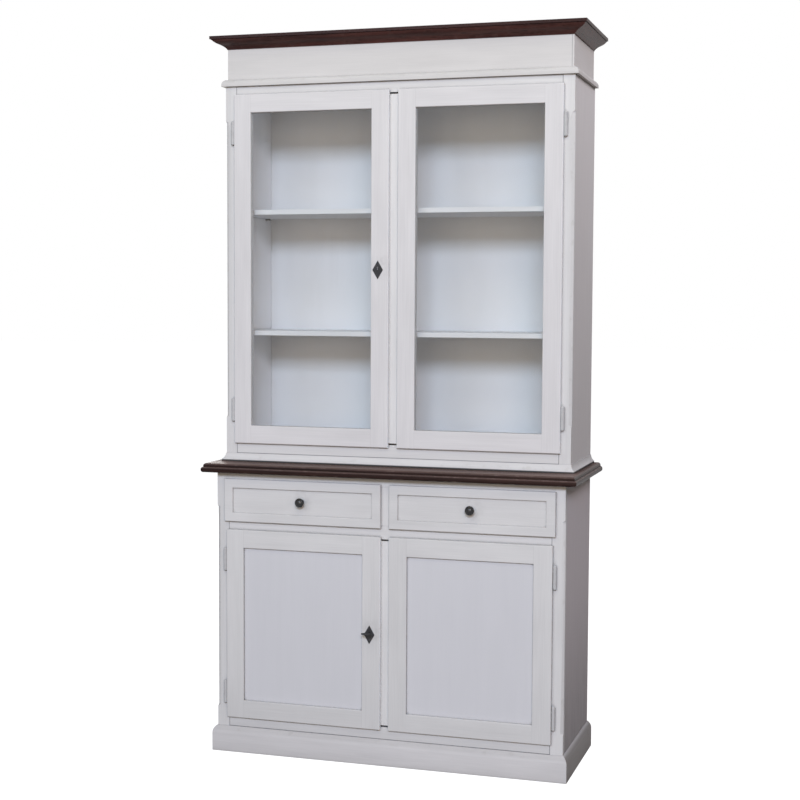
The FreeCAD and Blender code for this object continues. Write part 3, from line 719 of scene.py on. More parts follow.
@dataclass(frozen=True)
class InsidePaint(Finish):
    """Flat blue-white paint inside the cupboards, on boards whose far side may be bare."""

    run: Run = Run.ALONG_X
    colour: Colour = linear(227, 227, 229)
    spread: float = 0.10
    gloss: float = 0.08
    rough: float = 0.62
    rough_strokes: float = 0.2
    relief: float = 0.00015
    brushwork: Brushwork = Brushwork(
        strokes=Streaks(2.4, 26.0, detail=3.0, bend=0.2),
        bristles=Streaks(5.0, 260.0),
        thickness=Clouds(2.6, detail=3.0),
        shares=(0.5, 0.2, 0.7),
    )
    bare_behind: float | None = None
    ply: Colour = linear(188, 158, 118)
    ply_tones: tuple[Span, ...] = ((0.30, 0.62), (0.50, 1.0), (0.72, 1.22))
    ply_shares: Span = (0.75, 0.25)
    rings: Streaks = Streaks(1.1, 13.0, detail=5.0, rough=0.6, bend=0.6)
    fibres: Streaks = Streaks(9.0, 420.0)

    def shader(self, recipe: Recipe) -> bpy.types.NodeSocket:
        """Build the paint, and the bare plywood behind it.

        Args:
            recipe: The tree to fill.

        Returns:
            The shader socket.
        """
        strokes, tone, ridges = self.brushwork.lay(recipe, self.run)
        colour = recipe.toned(tone, self.colour, self.spread)
        if self.bare_behind is not None:
            _, y, _ = recipe.axes
            colour = recipe.blend(y > self.bare_behind, colour, self.veneer(recipe))
        return recipe.principled(
            {
                "Base Color": colour,
                "Roughness": self.rough + strokes.swing(self.rough_strokes),
                "Specular IOR Level": self.gloss,
                "Normal": recipe.relief(ridges, self.relief),
            }
        )

    def veneer(self, recipe: Recipe) -> bpy.types.NodeSocket:
        """Build the colour of the bare plywood.

        Args:
            recipe: The tree to fill.

        Returns:
            The colour socket.
        """
        rings = recipe.streaks(self.rings, Run.ALONG_Z)
        fibres = recipe.streaks(self.fibres, Run.ALONG_Z)
        stops = ((place, scaled(self.ply, tone)) for place, tone in self.ply_tones)
        return recipe.ramp(rings * self.ply_shares[0] + fibres * self.ply_shares[1], *stops)


@dataclass(frozen=True)
class StainedWood(Finish):
    """Dark red-brown stained hardwood with open pores, waxed.

    A shade or darkness is what the darkest stain is multiplied by: in pores, in the painted
    shade of corners and under the hutch's foot, and in a painted dark reflection.
    """

    run: Run = Run.ALONG_X
    dark: Colour = linear(24, 13, 12)
    middle: Colour = linear(42, 24, 21)
    light: Colour = linear(62, 38, 34)
    tone_places: tuple[float, float, float] = (0.34, 0.50, 0.70)
    tone_shares: Span = (0.55, 0.45)
    # the worn colour serves real edge wear, and a painted highlight on the upward roundings and the
    # flat top
    worn: Colour = linear(150, 128, 122)
    edge_wear: float = 0.25
    edge_span: Span = (0.78, 0.97)
    wear_span: Span = (0.50, 0.68)
    # share of a painted highlight, with some wear, on the upward roundings
    rubbed: float = 0.28
    crown_span: Span = (0.30, 0.65)
    # share of a painted sheen, with some wear, on the flat top
    level_wear_and_sheen: float = 0.85
    level_span: Span = (0.90, 0.98)
    pore_span: Span = (0.58, 0.68)
    pore_share: float = 0.55
    pore_shade: float = 0.5
    # painted dark reflection: the stain is darker above this height
    dark_reflection_above: float | None = None
    dark_reflection_share: float = 0.6
    dark_reflection_darkness: float = 0.6
    # painted shade: corners and the worktop under the hutch's foot are darkened, and lose their
    # coat
    shade_reach: float = 0.14
    shade_span: Span = (0.04, 0.22)
    shade_share: float = 0.95
    shade_darkness: float = 0.3
    rough: float = 0.46
    rough_pores: float = 0.20
    rough_bands: float = 0.16
    wax: float = 0.17
    sheen: float = 0.34
    front_span: Span = (0.30, 0.70)
    level_dulling: float = 0.4
    coat_rough: float = 0.26
    relief: float = 0.0002
    relief_shares: Span = (0.4, 0.6)
    figure: Streaks = Streaks(1.3, 17.0, detail=5.0, rough=0.62, bend=0.5)
    bands: Streaks = Streaks(2.6, 85.0, detail=3.0, rough=0.6, bend=0.2)
    pores: Streaks = Streaks(16.0, 640.0, detail=1.0)
    flecks: Clouds = Clouds(42.0, detail=4.0, rough=0.6)

    def shader(self, recipe: Recipe) -> bpy.types.NodeSocket:
        """Build the stained wood.

        Args:
            recipe: The tree to fill.

        Returns:
            The shader socket.
        """
        figure = recipe.streaks(self.figure, self.run)
        bands = recipe.streaks(self.bands, self.run)
        holes = recipe.step(recipe.streaks(self.pores, self.run), self.pore_span)
        _, back, up = recipe.facing
        front = recipe.step(-back, self.front_span)
        level = recipe.step(up, self.level_span)
        painted_shade = recipe.step(recipe.corner_shade_mask(self.shade_reach), self.shade_span)
        tone = figure * self.tone_shares[0] + bands * self.tone_shares[1]
        stain = recipe.ramp(tone, *zip(self.tone_places, (self.dark, self.middle, self.light)))
        wax = front * (self.wax - self.sheen) + self.sheen
        height = bands * self.relief_shares[0] + (1 - holes) * self.relief_shares[1]
        rough = holes * self.rough_pores + self.rough + bands.swing(self.rough_bands)
        return recipe.principled(
            {
                "Base Color": recipe.layered(stain, self.layers(recipe, holes, level, painted_shade)),
                "Roughness": rough,
                "Specular IOR Level": 0.0,
                "Coat Weight": wax * (1 - level * self.level_dulling) * (1 - painted_shade),
                "Coat Roughness": self.coat_rough,
                "Normal": recipe.relief(height, self.relief),
            }
        )

    def layers(
        self, recipe: Recipe, holes: Signal, level: Signal, painted_shade: Signal
    ) -> Iterator[tuple[Signal, Colour]]:
        """Give what lies over the stain: pores, wear with painted highlights, a painted dark
        reflection and painted shade.

        Args:
            recipe: The tree to fill.
            holes: Where the pores are.
            level: Where the surface looks up.
            painted_shade: Where shade is painted into corners and under the hutch's foot.

        Returns:
            How much of each layer there is, and its colour, from the lowest up.
        """
        yield holes * self.pore_share, scaled(self.dark, self.pore_shade)
        flecks = recipe.step(recipe.clouds(self.flecks), self.wear_span)
        yield recipe.worn_edges(self.edge_span) * flecks * self.edge_wear, self.worn
        # painted highlight with some wear: upward roundings and the flat top lightened towards the
        # worn colour
        if self.rubbed:
            crown = recipe.step(recipe.facing[2], self.crown_span) * (1 - level)
            yield crown * self.rubbed + level * self.level_wear_and_sheen, self.worn
        # painted dark reflection above a height
        if self.dark_reflection_above is not None:
            above = recipe.axes[2] > self.dark_reflection_above
            yield above * self.dark_reflection_share, scaled(self.dark, self.dark_reflection_darkness)
        # painted shade in corners and under the hutch's foot
        yield painted_shade * self.shade_share, scaled(self.dark, self.shade_darkness)


@dataclass(frozen=True)
class BareWood(Finish):
    """Unpainted softwood of the drawer boxes and their runners."""

    run: Run = Run.ALONG_Y
    early: Colour = linear(208, 178, 134)
    late: Colour = linear(164, 122, 78)
    ring_count: float = 90.0
    ring_share: float = 0.55
    fibre_share: float = 0.7
    late_share: float = 0.05
    stain_span: Span = (0.55, 0.75)
    stain_share: float = 0.25
    stain_shade: float = 0.7
    rough: float = 0.68
    rough_fibres: float = 0.2
    gloss: float = 0.30
    relief: float = 0.00025
    relief_shares: Span = (0.6, 0.4)
    rings: Streaks = Streaks(0.9, 9.0, detail=3.0, bend=0.4)
    fibres: Streaks = Streaks(11.0, 520.0)
    stains: Clouds = Clouds(6.0, detail=4.0, rough=0.6)

    def shader(self, recipe: Recipe) -> bpy.types.NodeSocket:
        """Build the bare wood.

        Args:
            recipe: The tree to fill.

        Returns:
            The shader socket.
        """
        rings = recipe.streaks(self.rings, self.run)
        fibres = recipe.streaks(self.fibres, self.run)
        lines = (rings * self.ring_count).wave() * 0.5 + 0.5
        late = lines * self.ring_share + fibres.swing(self.fibre_share) + self.late_share
        stains = recipe.step(recipe.clouds(self.stains), self.stain_span) * self.stain_share
        wood = recipe.blend(late, self.early, self.late)
        height = fibres * self.relief_shares[0] + lines * self.relief_shares[1]
        return recipe.principled(
            {
                "Base Color": recipe.blend(stains, wood, scaled(self.late, self.stain_shade)),
                "Roughness": self.rough + fibres.swing(self.rough_fibres),
                "Specular IOR Level": self.gloss,
                "Normal": recipe.relief(height, self.relief),
            }
        )


@dataclass(frozen=True)
class WornMetal(Finish):
    """Metal under a skin of paint, patina or oil, which is rubbed through in places."""

    skin: Colour = linear(210, 208, 208)
    spread: float = 0.18
    metal: Colour = linear(150, 146, 140)
    rubbed: float = 0.3
    rub_span: Span = (0.62, 0.74)
    rub_ease: float = 0.3
    metallic: float = 0.0
    rough: float = 0.5
    rough_pits: float = 0.3
    polish: float = 0.1
    gloss: float = 0.5
    pit_scale: float = 240.0
    pit_depth: float = 0.0002
    patches: Clouds = Clouds(70.0, detail=4.0, rough=0.6)
    patch_shares: Span = (0.7, 0.3)

    def shader(self, recipe: Recipe) -> bpy.types.NodeSocket:
        """Build the metal.

        Args:
            recipe: The tree to fill.

        Returns:
            The shader socket.
        """
        patches = recipe.clouds(self.patches)
        pits = recipe.clouds(Clouds(self.pit_scale, detail=3.0, rough=0.6))
        low, high = (level - self.rubbed * self.rub_ease for level in self.rub_span)
        worn = recipe.step(
            patches * self.patch_shares[0] + pits * self.patch_shares[1], (low, high)
        )
        skin = recipe.toned(patches, self.skin, self.spread)
        return recipe.principled(
            {
                "Base Color": recipe.blend(worn * self.rubbed, skin, self.metal),
                "Metallic": self.metallic,
                "Roughness": self.rough + pits.swing(self.rough_pits) - worn * self.polish,
                "Specular IOR Level": self.gloss,
                "Normal": recipe.relief(pits, self.pit_depth),
            }
        )


@dataclass(frozen=True)
class WindowGlass(Finish):
    """Old clear window glass, slightly rippled, with a faint film of dust."""

    clear: Colour = (0.965, 0.968, 0.966)
    dust: Colour = linear(196, 192, 184)
    rough: float = 0.04
    gloss: float = 1.0
    index: float = 1.45
    mirror_share: float = 0.55
    film: Clouds = Clouds(4.0, detail=4.0, rough=0.6)
    film_span: Span = (0.45, 0.75)
    film_share: float = 0.012
    ripple: Streaks = Streaks(2.0, 5.0, detail=1.0)
    ripple_depth: float = 0.002

    def shader(self, recipe: Recipe) -> bpy.types.NodeSocket:
        """Build the glass.

        Args:
            recipe: The tree to fill.

        Returns:
            The shader socket.
        """
        through = recipe.node("ShaderNodeBsdfTransparent", sockets={"Color": self.clear})
        ripple = recipe.streaks(self.ripple, Run.ALONG_Z)
        mirror = recipe.node(
            "ShaderNodeBsdfPrincipled",
            sockets={
                "Base Color": self.dust,
                "Roughness": self.rough,
                "Specular IOR Level": self.gloss,
                "Normal": recipe.relief(ripple, self.ripple_depth),
            },
        )
        fresnel = recipe.number(recipe.node("ShaderNodeFresnel", sockets={"IOR": self.index}))
        film = recipe.step(recipe.clouds(self.film), self.film_span)
        shine = fresnel * self.mirror_share + film * self.film_share
        return recipe.mixed(shine, through, mirror)


@dataclass(frozen=True)
class PaleFloor(Finish):
    """A plain pale studio floor that fades into the white room and keeps the shadow."""

    tone: Colour = (0.15, 0.13, 0.11)
    shown: Colour = (0.50, 0.50, 0.50)
    glow: Colour = (0.88, 0.88, 0.88)
    fade: Span = (0.8, 3.5)

    def shader(self, recipe: Recipe) -> bpy.types.NodeSocket:
        """Build the floor.

        Args:
            recipe: The tree to fill.

        Returns:
            The shader socket.
        """
        boards = recipe.node("ShaderNodeBsdfDiffuse", sockets={"Color": self.tone})
        sweep = recipe.node("ShaderNodeBsdfDiffuse", sockets={"Color": self.shown})
        x, y, _ = recipe.axes
        away = recipe.step((x**2 + y**2) ** 0.5, self.fade)
        white = recipe.blend(away, self.glow, WHITE)
        glow = recipe.node("ShaderNodeEmission", sockets={"Color": white, "Strength": 1.0})
        both = {0: sweep.outputs[0], 1: glow.outputs[0]}
        pale = recipe.node("ShaderNodeAddShader", sockets=both)
        return recipe.mixed(recipe.shown_to_eye(), boards, pale)


@dataclass(frozen=True)
class EasedEdges:
    """The slight rounding that sandpaper and paint leave on the arrises of a board."""

    width: float = 0.0007
    segments: int = 2
    angle: float = math.radians(50)
    merge: float = 0.00001
    flat_angle: float = math.radians(0.5)

    def ease(self, *names: str) -> None:
        """Round the arrises of CAD nodes with live modifiers.

        Args:
            names: The nodes, each a board or boards that don't touch.
        """
        for name in names:
            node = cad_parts[name]
            weld = node.modifiers.new("weld", "WELD")
            weld.merge_threshold = self.merge
            flat = node.modifiers.new("flat faces", "DECIMATE")
            flat.decimate_type = "DISSOLVE"
            flat.angle_limit = self.flat_angle
            bevel = node.modifiers.new("eased edges", "BEVEL")
            bevel.width = self.width
            bevel.segments = self.segments
            bevel.limit_method = "ANGLE"
            bevel.angle_limit = self.angle
            bevel.use_clamp_overlap = True
            shade = node.modifiers.new("even shading", "WEIGHTED_NORMAL")
            shade.keep_sharp = False


@dataclass(frozen=True)
class Head:
    """The visible head of a pin or screw, which stands on a face.

    Roundings and the slot's depth are shares of the height, the slot's other sizes are shares
    of the radius.
    """

    radius: float
    height: float
    slotted: bool = False
    sides: int = 20
    pin_rounding: float = 0.85
    screw_rounding: float = 0.35
    rounding_segments: int = 3
    slot_half: float = 0.16
    slot_inset: float = 0.02
    slot_depth: float = 0.55
    merge: float = 1e-6
    sharp_angle: float = math.radians(40)

    def shape(self) -> bmesh.types.BMesh:
        """Model the head at the origin, standing up along z, with as much again below its face.

        Returns:
            The mesh.
        """
        head = bmesh.new()
        bmesh.ops.create_cone(
            head,
            cap_ends=True,
            segments=self.sides,
            radius1=self.radius,
            radius2=self.radius,
            depth=self.height * 2,
        )
        top = [edge for edge in head.edges if all(v.co.z > 0 for v in edge.verts)]
        bmesh.ops.bevel(
            head,
            geom=top,
            offset=self.height * (self.screw_rounding if self.slotted else self.pin_rounding),
            segments=self.rounding_segments,
            profile=0.5,
            affect="EDGES",
            material=-1,
        )
        if self.slotted:
            self.cut_slot(head)
        bmesh.ops.remove_doubles(head, verts=head.verts, dist=self.merge)
        bmesh.ops.recalc_face_normals(head, faces=head.faces)
        return head

    def cut_slot(self, head: bmesh.types.BMesh) -> None:
        """Sink a driver's slot into the top of a screw head.

        Args:
            head: The mesh to cut.
        """
        half = self.radius * self.slot_half
        for offset in (-half, half):
            geometry = head.verts[:] + head.edges[:] + head.faces[:]
            bmesh.ops.bisect_plane(head, geom=geometry, plane_co=(offset, 0, 0), plane_no=(1, 0, 0))
        strip = []
        for face in head.faces:
            middle = face.calc_center_median()
            if face.normal.z > FLAT_TOP and abs(middle.x) < half and middle.z > 0:
                strip.append(face)
        slot = max(strip, key=lambda face: face.calc_area())
        bmesh.ops.inset_region(head, faces=[slot], thickness=self.radius * self.slot_inset)
        bmesh.ops.translate(head, verts=slot.verts, vec=(0, 0, -self.height * self.slot_depth))

    def set_out(
        self, name: str, places: Sequence[Matrix], body: str, slot: str, finish: Finish
    ) -> bpy.types.Object:
        """Make one piece of many heads.

        Args:
            name: The piece's name.
            places: Where each head stands and which way it faces.
            body: The body that the piece rides on.
            slot: The record's material slot; not used.
            finish: The finish.

        Returns:
            The piece.
        """
        shape = self.shape()
        pattern = bpy.data.meshes.new("pattern")
        shape.to_mesh(pattern)
        shape.free()
        whole = bmesh.new()
        for place in places:
            known = len(whole.verts)
            whole.from_mesh(pattern)
            whole.verts.ensure_lookup_table()
            bmesh.ops.transform(whole, matrix=place, verts=whole.verts[known:])
        bpy.data.meshes.remove(pattern)
        mesh = bpy.data.meshes.new(name)
        whole.to_mesh(mesh)
        whole.free()
        mesh.shade_smooth()
        mesh.set_sharp_from_angle(angle=self.sharp_angle)
        mesh.materials.append(finish.material())
        piece = bpy.data.objects.new(name, mesh)
        bpy.context.scene.collection.objects.link(piece)
        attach(piece, body)
        return piece


FRONT = Matrix.Rotation(math.radians(90), 4, "X")
BACK = Matrix.Rotation(math.radians(-90), 4, "X")


def standing(x: float, y: float, z: float, facing: Matrix, turn: float = 0.0) -> Matrix:
    """Give the place of a head on a face, with its turn in radians."""
    return Matrix.Translation((x, y, z)) @ facing @ Matrix.Rotation(turn, 4, "Z")


WITHIN_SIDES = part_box("base_side_right")[0].x + 0.0005  # just past the sides' inner faces
BACK_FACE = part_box("base_back")[1].y - 0.0002  # just before the back panels' far faces

PAINT_UPRIGHT = BrushedPaint("white_paint_upright", run=Run.ALONG_Z)
PAINT_SIDES = BrushedPaint(
    "white_paint_sides",
    run=Run.ALONG_Z,
    colour=linear(223, 219, 219),
    inside_of=WITHIN_SIDES,
    spread=0.07,
    relief=0.00006,
)
# Painted shade: the lower 0.6 m of the base's sides is darkened, streaked, for the shade that falls
# low on the side.
PAINT_BASE_SIDES = BrushedPaint(
    "white_paint_base_sides",
    run=Run.ALONG_Z,
    colour=linear(217, 210, 213),
    inside_of=WITHIN_SIDES,
    spread=0.06,
    relief=0.00005,
    scuffed_and_shaded_below=0.6,
    scuff_and_shade=0.62,
)
PAINT_PANEL = BrushedPaint(
    "white_paint_panel",
    run=Run.ALONG_Z,
    colour=linear(214, 212, 215),
    spread=0.035,
    relief=0.00004,
)
PAINT_ROUND = BrushedPaint(
    "white_paint_round", run=Run.ROUND_FRONT, wear=0.15, colour=linear(212, 208, 206)
)
# Painted shade: the rails take dark bluish shade in their corners and under the door lips, and the
# shaded paint gives the base's stiles and top rail bluish shade under the worktop's nose.
PAINT_RAILS = BrushedPaint(
    "white_paint_rails", grime_and_shade=linear(64, 64, 74), crevice_shade=0.8, reach=0.012, crack_and_shadow_share=0.7
)
PAINT_POST = BrushedPaint("white_paint_post", run=Run.ALONG_Z, crack_and_shadow_share=0.55)
PAINT_SHADED = BrushedPaint("white_paint_shaded", grime_and_shade=linear(66, 70, 86), crevice_shade=0.4, reach=0.02)
INSIDE_LEVEL = InsidePaint("inside_paint_level", run=Run.ALONG_X, gloss=0.4, rough=0.36)
INSIDE_BACK = InsidePaint("inside_paint_back", run=Run.ALONG_Z, bare_behind=BACK_FACE)
HINGE_PAINT = WornMetal(
    "hinge_paint",
    skin=linear(194, 192, 192),
    metal=linear(128, 122, 116),
    rubbed=0.16,
    rough=0.55,
    gloss=0.06,
)
BRONZE = WornMetal(
    "knob_bronze",
    skin=linear(34, 33, 34),
    metal=linear(110, 106, 103),
    rubbed=0.25,
    metallic=0.2,
    rough=0.22,
    pit_depth=0.00004,
    gloss=0.3,
)
IRON = WornMetal(
    "plate_iron",
    skin=linear(52, 51, 53),
    metal=linear(104, 102, 102),
    rubbed=0.35,
    rough=0.42,
    pit_scale=420.0,
    pit_depth=0.00015,
    gloss=0.15,
)
STEEL = WornMetal(
    "lock_steel",
    skin=linear(116, 114, 111),
    metal=linear(156, 154, 150),
    rubbed=0.5,
    metallic=1.0,
    rough=0.42,
    pit_scale=600.0,
    pit_depth=0.00005,
)
GLASS = WindowGlass("window_glass")


class Assembly:
    """A part of the dresser that adds pieces of its own and dresses its CAD nodes."""

    def build(self) -> list[bpy.types.Object]:
        """Make the assembly's own pieces."""
        return []

    def dress(self) -> list[str]:
        """Dress the assembly's CAD nodes and give their names."""
        raise NotImplementedError


@dataclass
class BaseCarcass(Assembly):
    """The lower cupboard's fixed woodwork, with its plinth and the worktop.

    The joint is where a rail meets a stile, and the door's edge is where the right-hand door
    shuts against the post, both measured from the middle. A painted shadow line is drawn on the
    post at the door's edge.
    """

    edge: float = 0.0007
    scuff_and_shade_height: float = 0.045
    rail_scuff_and_shade_height: float = 0.25
    joint: float = 0.507
    door_edge: float = 0.0125

    def dress(self) -> list[str]:
        """Dress the boards, the face frame, the plinth and the worktop.

        Returns:
            The nodes dressed.
        """
        # The plinth's sideways faces get painted shade, its foot painted shade with scuffs, and its
        # upward faces are darkened a little.
        plinth = BrushedPaint(
            "white_paint_plinth",
            run=Run.ROUND_FRONT,
            colour=linear(214, 210, 210),
            grime_and_shade=linear(92, 84, 74),
            wear=0.12,
            side_shade=0.5,
            level_darkening=0.15,
            scuffed_and_shaded_below=self.scuff_and_shade_height,
            scuff_and_shade=0.12,
        )
        # The base rails are darkened towards the bottom, painted shade, and take dark painted shade
        # under the door lips.
        rails = replace(
            PAINT_RAILS,
            name="white_paint_base_rails",
            joints=(-self.joint, self.joint),
            foot_line=top_of("plinth"),
            scuffed_and_shaded_below=self.rail_scuff_and_shade_height,
            scuff_and_shade=0.14,
        )
        stiles = replace(PAINT_SHADED, name="white_paint_base_stiles", run=Run.ALONG_Z)
        top_rail = replace(PAINT_SHADED, name="white_paint_top_rail")
        # painted shadow line on the post where the right-hand door's lip shades it
        post = replace(PAINT_POST, name="white_paint_base_post", joints=(self.door_edge,))
        EasedEdges(self.edge).ease(
            "base_side_left",
            "base_side_right",
            "base_stiles",
            "base_top_rail",
            "base_mid_rail",
            "base_bottom_rail",
            "base_door_post",
            "drawer_divider",
            "base_shelf",
        )
        return [
            *PAINT_BASE_SIDES.dress("base_side_left", "base_side_right"),
            *PAINT_UPRIGHT.dress("drawer_divider"),
            *stiles.dress("base_stiles"),
            *post.dress("base_door_post"),
            *top_rail.dress("base_top_rail"),
            *rails.dress("base_mid_rail", "base_bottom_rail"),
            *plinth.dress("plinth"),
            *INSIDE_LEVEL.dress("base_floor", "base_shelf"),
            *INSIDE_BACK.dress("base_back"),
            # the worktop's stain carries a painted highlight on its roundings and flat top, and
            # painted shade under the hutch's foot
            *StainedWood("stained_worktop", run=Run.ALONG_X).dress("worktop"),
            *BareWood("bare_runners", run=Run.ALONG_Y).dress("drawer_runners"),
        ]


@dataclass
class HutchCarcass(Assembly):
    """The upper cupboard's fixed woodwork, with its mouldings.

    The rail joint, the frieze's joint and the door's edge are measured from the middle, as in
    the lower cupboard. A painted shadow line is drawn on the post at the door's edge.
    """

    edge: float = 0.0007
    joint: float = 0.510
    door_edge: float = 0.0135
    frieze_joint: float = 0.534
    fillet: float = 0.0091

    def dress(self) -> list[str]:
        """Dress the boards, the face frame and the mouldings.

        Returns:
            The nodes dressed.
        """
        rails = replace(
            PAINT_RAILS,
            name="white_paint_hutch_rails",
            joints=(-self.joint, self.joint),
            foot_line=top_of("hutch_foot_moulding"),
        )
        # Painted shadow: a near-black line along the foot's bottom where it sits on the worktop,
        # and painted shade in its corners.
        foot = BrushedPaint(
            "white_paint_foot",
            run=Run.ROUND_FRONT,
            grime_and_shade=linear(24, 21, 23),
            crevice_shade=0.2,
            foot_line=top_of("worktop"),
            crack_and_shadow_width=0.0052,
        )
        frieze = BrushedPaint(
            "white_paint_frieze",
            run=Run.ROUND_FRONT,
            colour=PAINT_ROUND.colour,
            joints=(self.frieze_joint,),
            spread=0.09,
            relief=0.00012,
            crack_and_shadow_width=0.0016,
            crack_and_shadow_share=0.35,
        )
        # The cornice's top fillet is darker, a painted dark reflection, and its tight corners take
        # painted shade.
        cornice = StainedWood(
            "stained_cornice",
            run=Run.ROUND_FRONT,
            dark=linear(42, 21, 19),
            middle=linear(72, 42, 38),
            light=linear(96, 58, 52),
            edge_wear=0.06,
            rubbed=0.0,
            wax=0.2,
            sheen=0.36,
            shade_reach=0.006,
            dark_reflection_above=top_of("cornice") - self.fillet,
        )
        # painted shadow line on the post where the right-hand door's lip shades it
        post = replace(PAINT_POST, name="white_paint_hutch_post", joints=(self.door_edge,))
        EasedEdges(self.edge).ease(
            "hutch_side_left",
            "hutch_side_right",
            "hutch_stiles",
            "hutch_top_rail",
            "hutch_bottom_rail",
            "hutch_door_post",
            "hutch_shelves",
        )
        return [
            *PAINT_SIDES.dress("hutch_side_left", "hutch_side_right"),
            *PAINT_UPRIGHT.dress("hutch_stiles"),
            *post.dress("hutch_door_post"),
            *rails.dress("hutch_top_rail", "hutch_bottom_rail"),
            *foot.dress("hutch_foot_moulding"),
            *PAINT_ROUND.dress("frieze_bead"),
            *frieze.dress("frieze"),
            *cornice.dress("cornice"),
            *INSIDE_LEVEL.dress("hutch_shelves", "hutch_floor", "hutch_ceiling"),
            *INSIDE_BACK.dress("hutch_back"),
            *STEEL.dress("shelf_pegs"),
            *HINGE_PAINT.dress("frame_hinge_halves"),
        ]


@dataclass
class Door(Assembly):
    """A door, a frame round a panel or pane, with a lock in the left-hand one."""

    side: Side
    hand_rise: float = 0.008

    def hand_spots(self, level: str) -> tuple[Spot, ...]:
        """Give the places on the frame that hands touch.

        Args:
            level: Which cupboard the door is on.

        Returns:
            A place just above the middle of the key plate, or none.
        """
        if self.side is Side.RIGHT:
            return ()
        x, z = middle_of(f"{level}_escutcheon")
        return ((x, z + self.hand_rise),)


@dataclass
class PanelledDoor(Door):
    """One of the lower doors, a frame round a flat panel."""

    panel_lap: float = 0.008
    scuff_and_shade_height: float = 0.35

    def dress(self) -> list[str]:
        """Dress the frame, the panel and the hinges.

        Returns:
            The nodes dressed.
        """
        name = self.side.value
        across, _ = opening_of(f"base_door_panel_{name}", self.panel_lap)
        # Painted shade is deep in the frame's corners round the panel, a painted highlight lightens
        # the lip's shaded edges near the meeting edge, and the frame is darker towards the bottom,
        # painted shade.
        paint = BrushedPaint(
            f"white_paint_base_door_{name}",
            run=Run.DOOR_FRAME,
            rails=across,
            crevice_shade=0.7,
            highlight_within=across[0] / 2,
            scuffed_and_shaded_below=self.scuff_and_shade_height,
            scuff_and_shade=0.10,
            spots=self.hand_spots("base"),
        )
        return [
            *paint.dress(f"base_door_frame_{name}"),
            *PAINT_PANEL.dress(f"base_door_panel_{name}"),
            *HINGE_PAINT.dress(f"base_door_hinge_halves_{name}"),
        ]


@dataclass
class GlazedDoor(Door):
    """One of the upper doors, a frame round a pane held by beads."""

    glass_lap: float = 0.0075
    bead: float = 0.008
    pin: Head = Head(radius=0.0011, height=0.0003)
    pin_spacing: float = 0.160
    # painted highlight on the frame's shaded upright edges, as far as this from the middle
    highlight_within: float = 1.0

    def build(self) -> list[bpy.types.Object]:
        """Set out the small pins that hold the glazing beads.

        Returns:
            The piece of pins.
        """
        name = self.side.value
        across, (low, high) = opening_of(f"hutch_door_glass_{name}", self.glass_lap)
        near, far = (edge * self.side.sign for edge in across)
        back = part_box(f"hutch_door_glazing_beads_{name}")[1].y
        half = self.bead / 2
        outward = half * self.side.sign
        places = [
            standing(x, back, z, BACK)
            for z in spaced(low, high, self.pin_spacing)
            for x in (near - outward, far + outward)
        ]
        places += [
            standing(x, back, z, BACK)
            for x in spaced(near, far, self.pin_spacing)
            for z in (low - half, high + half)
        ]
        body = f"hutch_door_{name}"
        return [self.pin.set_out(f"glazing_pins_{name}", places, body, "steel", STEEL)]

    def dress(self) -> list[str]:
        """Dress the frame, the beads, the pane and the hinges.

        Returns:
            The nodes dressed.
        """
        name = self.side.value
        across, _ = opening_of(f"hutch_door_glass_{name}", self.glass_lap)
        # Light painted shade in the frame's corners, and a painted highlight on its shaded upright
        # edges.
        paint = BrushedPaint(
            f"white_paint_hutch_door_{name}",
            run=Run.DOOR_FRAME,
            colour=linear(220, 216, 216),
            rails=across,
            crevice_shade=0.2,
            highlight_within=self.highlight_within,
            spots=self.hand_spots("hutch"),
        )
        return [
            *paint.dress(f"hutch_door_frame_{name}", f"hutch_door_glazing_beads_{name}"),
            *GLASS.dress(f"hutch_door_glass_{name}"),
            *HINGE_PAINT.dress(f"hutch_door_hinge_halves_{name}"),
        ]


@dataclass
class Drawer(Assembly):
    """One of the two drawers."""

    side: Side

    def dress(self) -> list[str]:
        """Dress the front, the box and the knob.

        Returns:
            The nodes dressed.
        """
        name = self.side.value
        front = BrushedPaint(
            f"white_paint_drawer_{name}",
            run=Run.ALONG_X,
            spots=(middle_of(f"drawer_knob_{name}"),),
        )
        return [
            *front.dress(f"drawer_front_{name}"),
            *BareWood("bare_drawer", run=Run.ROUND_FRONT).dress(f"drawer_box_{name}"),
            *BareWood("bare_drawer_bottom", run=Run.ALONG_X).dress(f"drawer_bottom_{name}"),
            *BRONZE.dress(f"drawer_knob_{name}"),
        ]


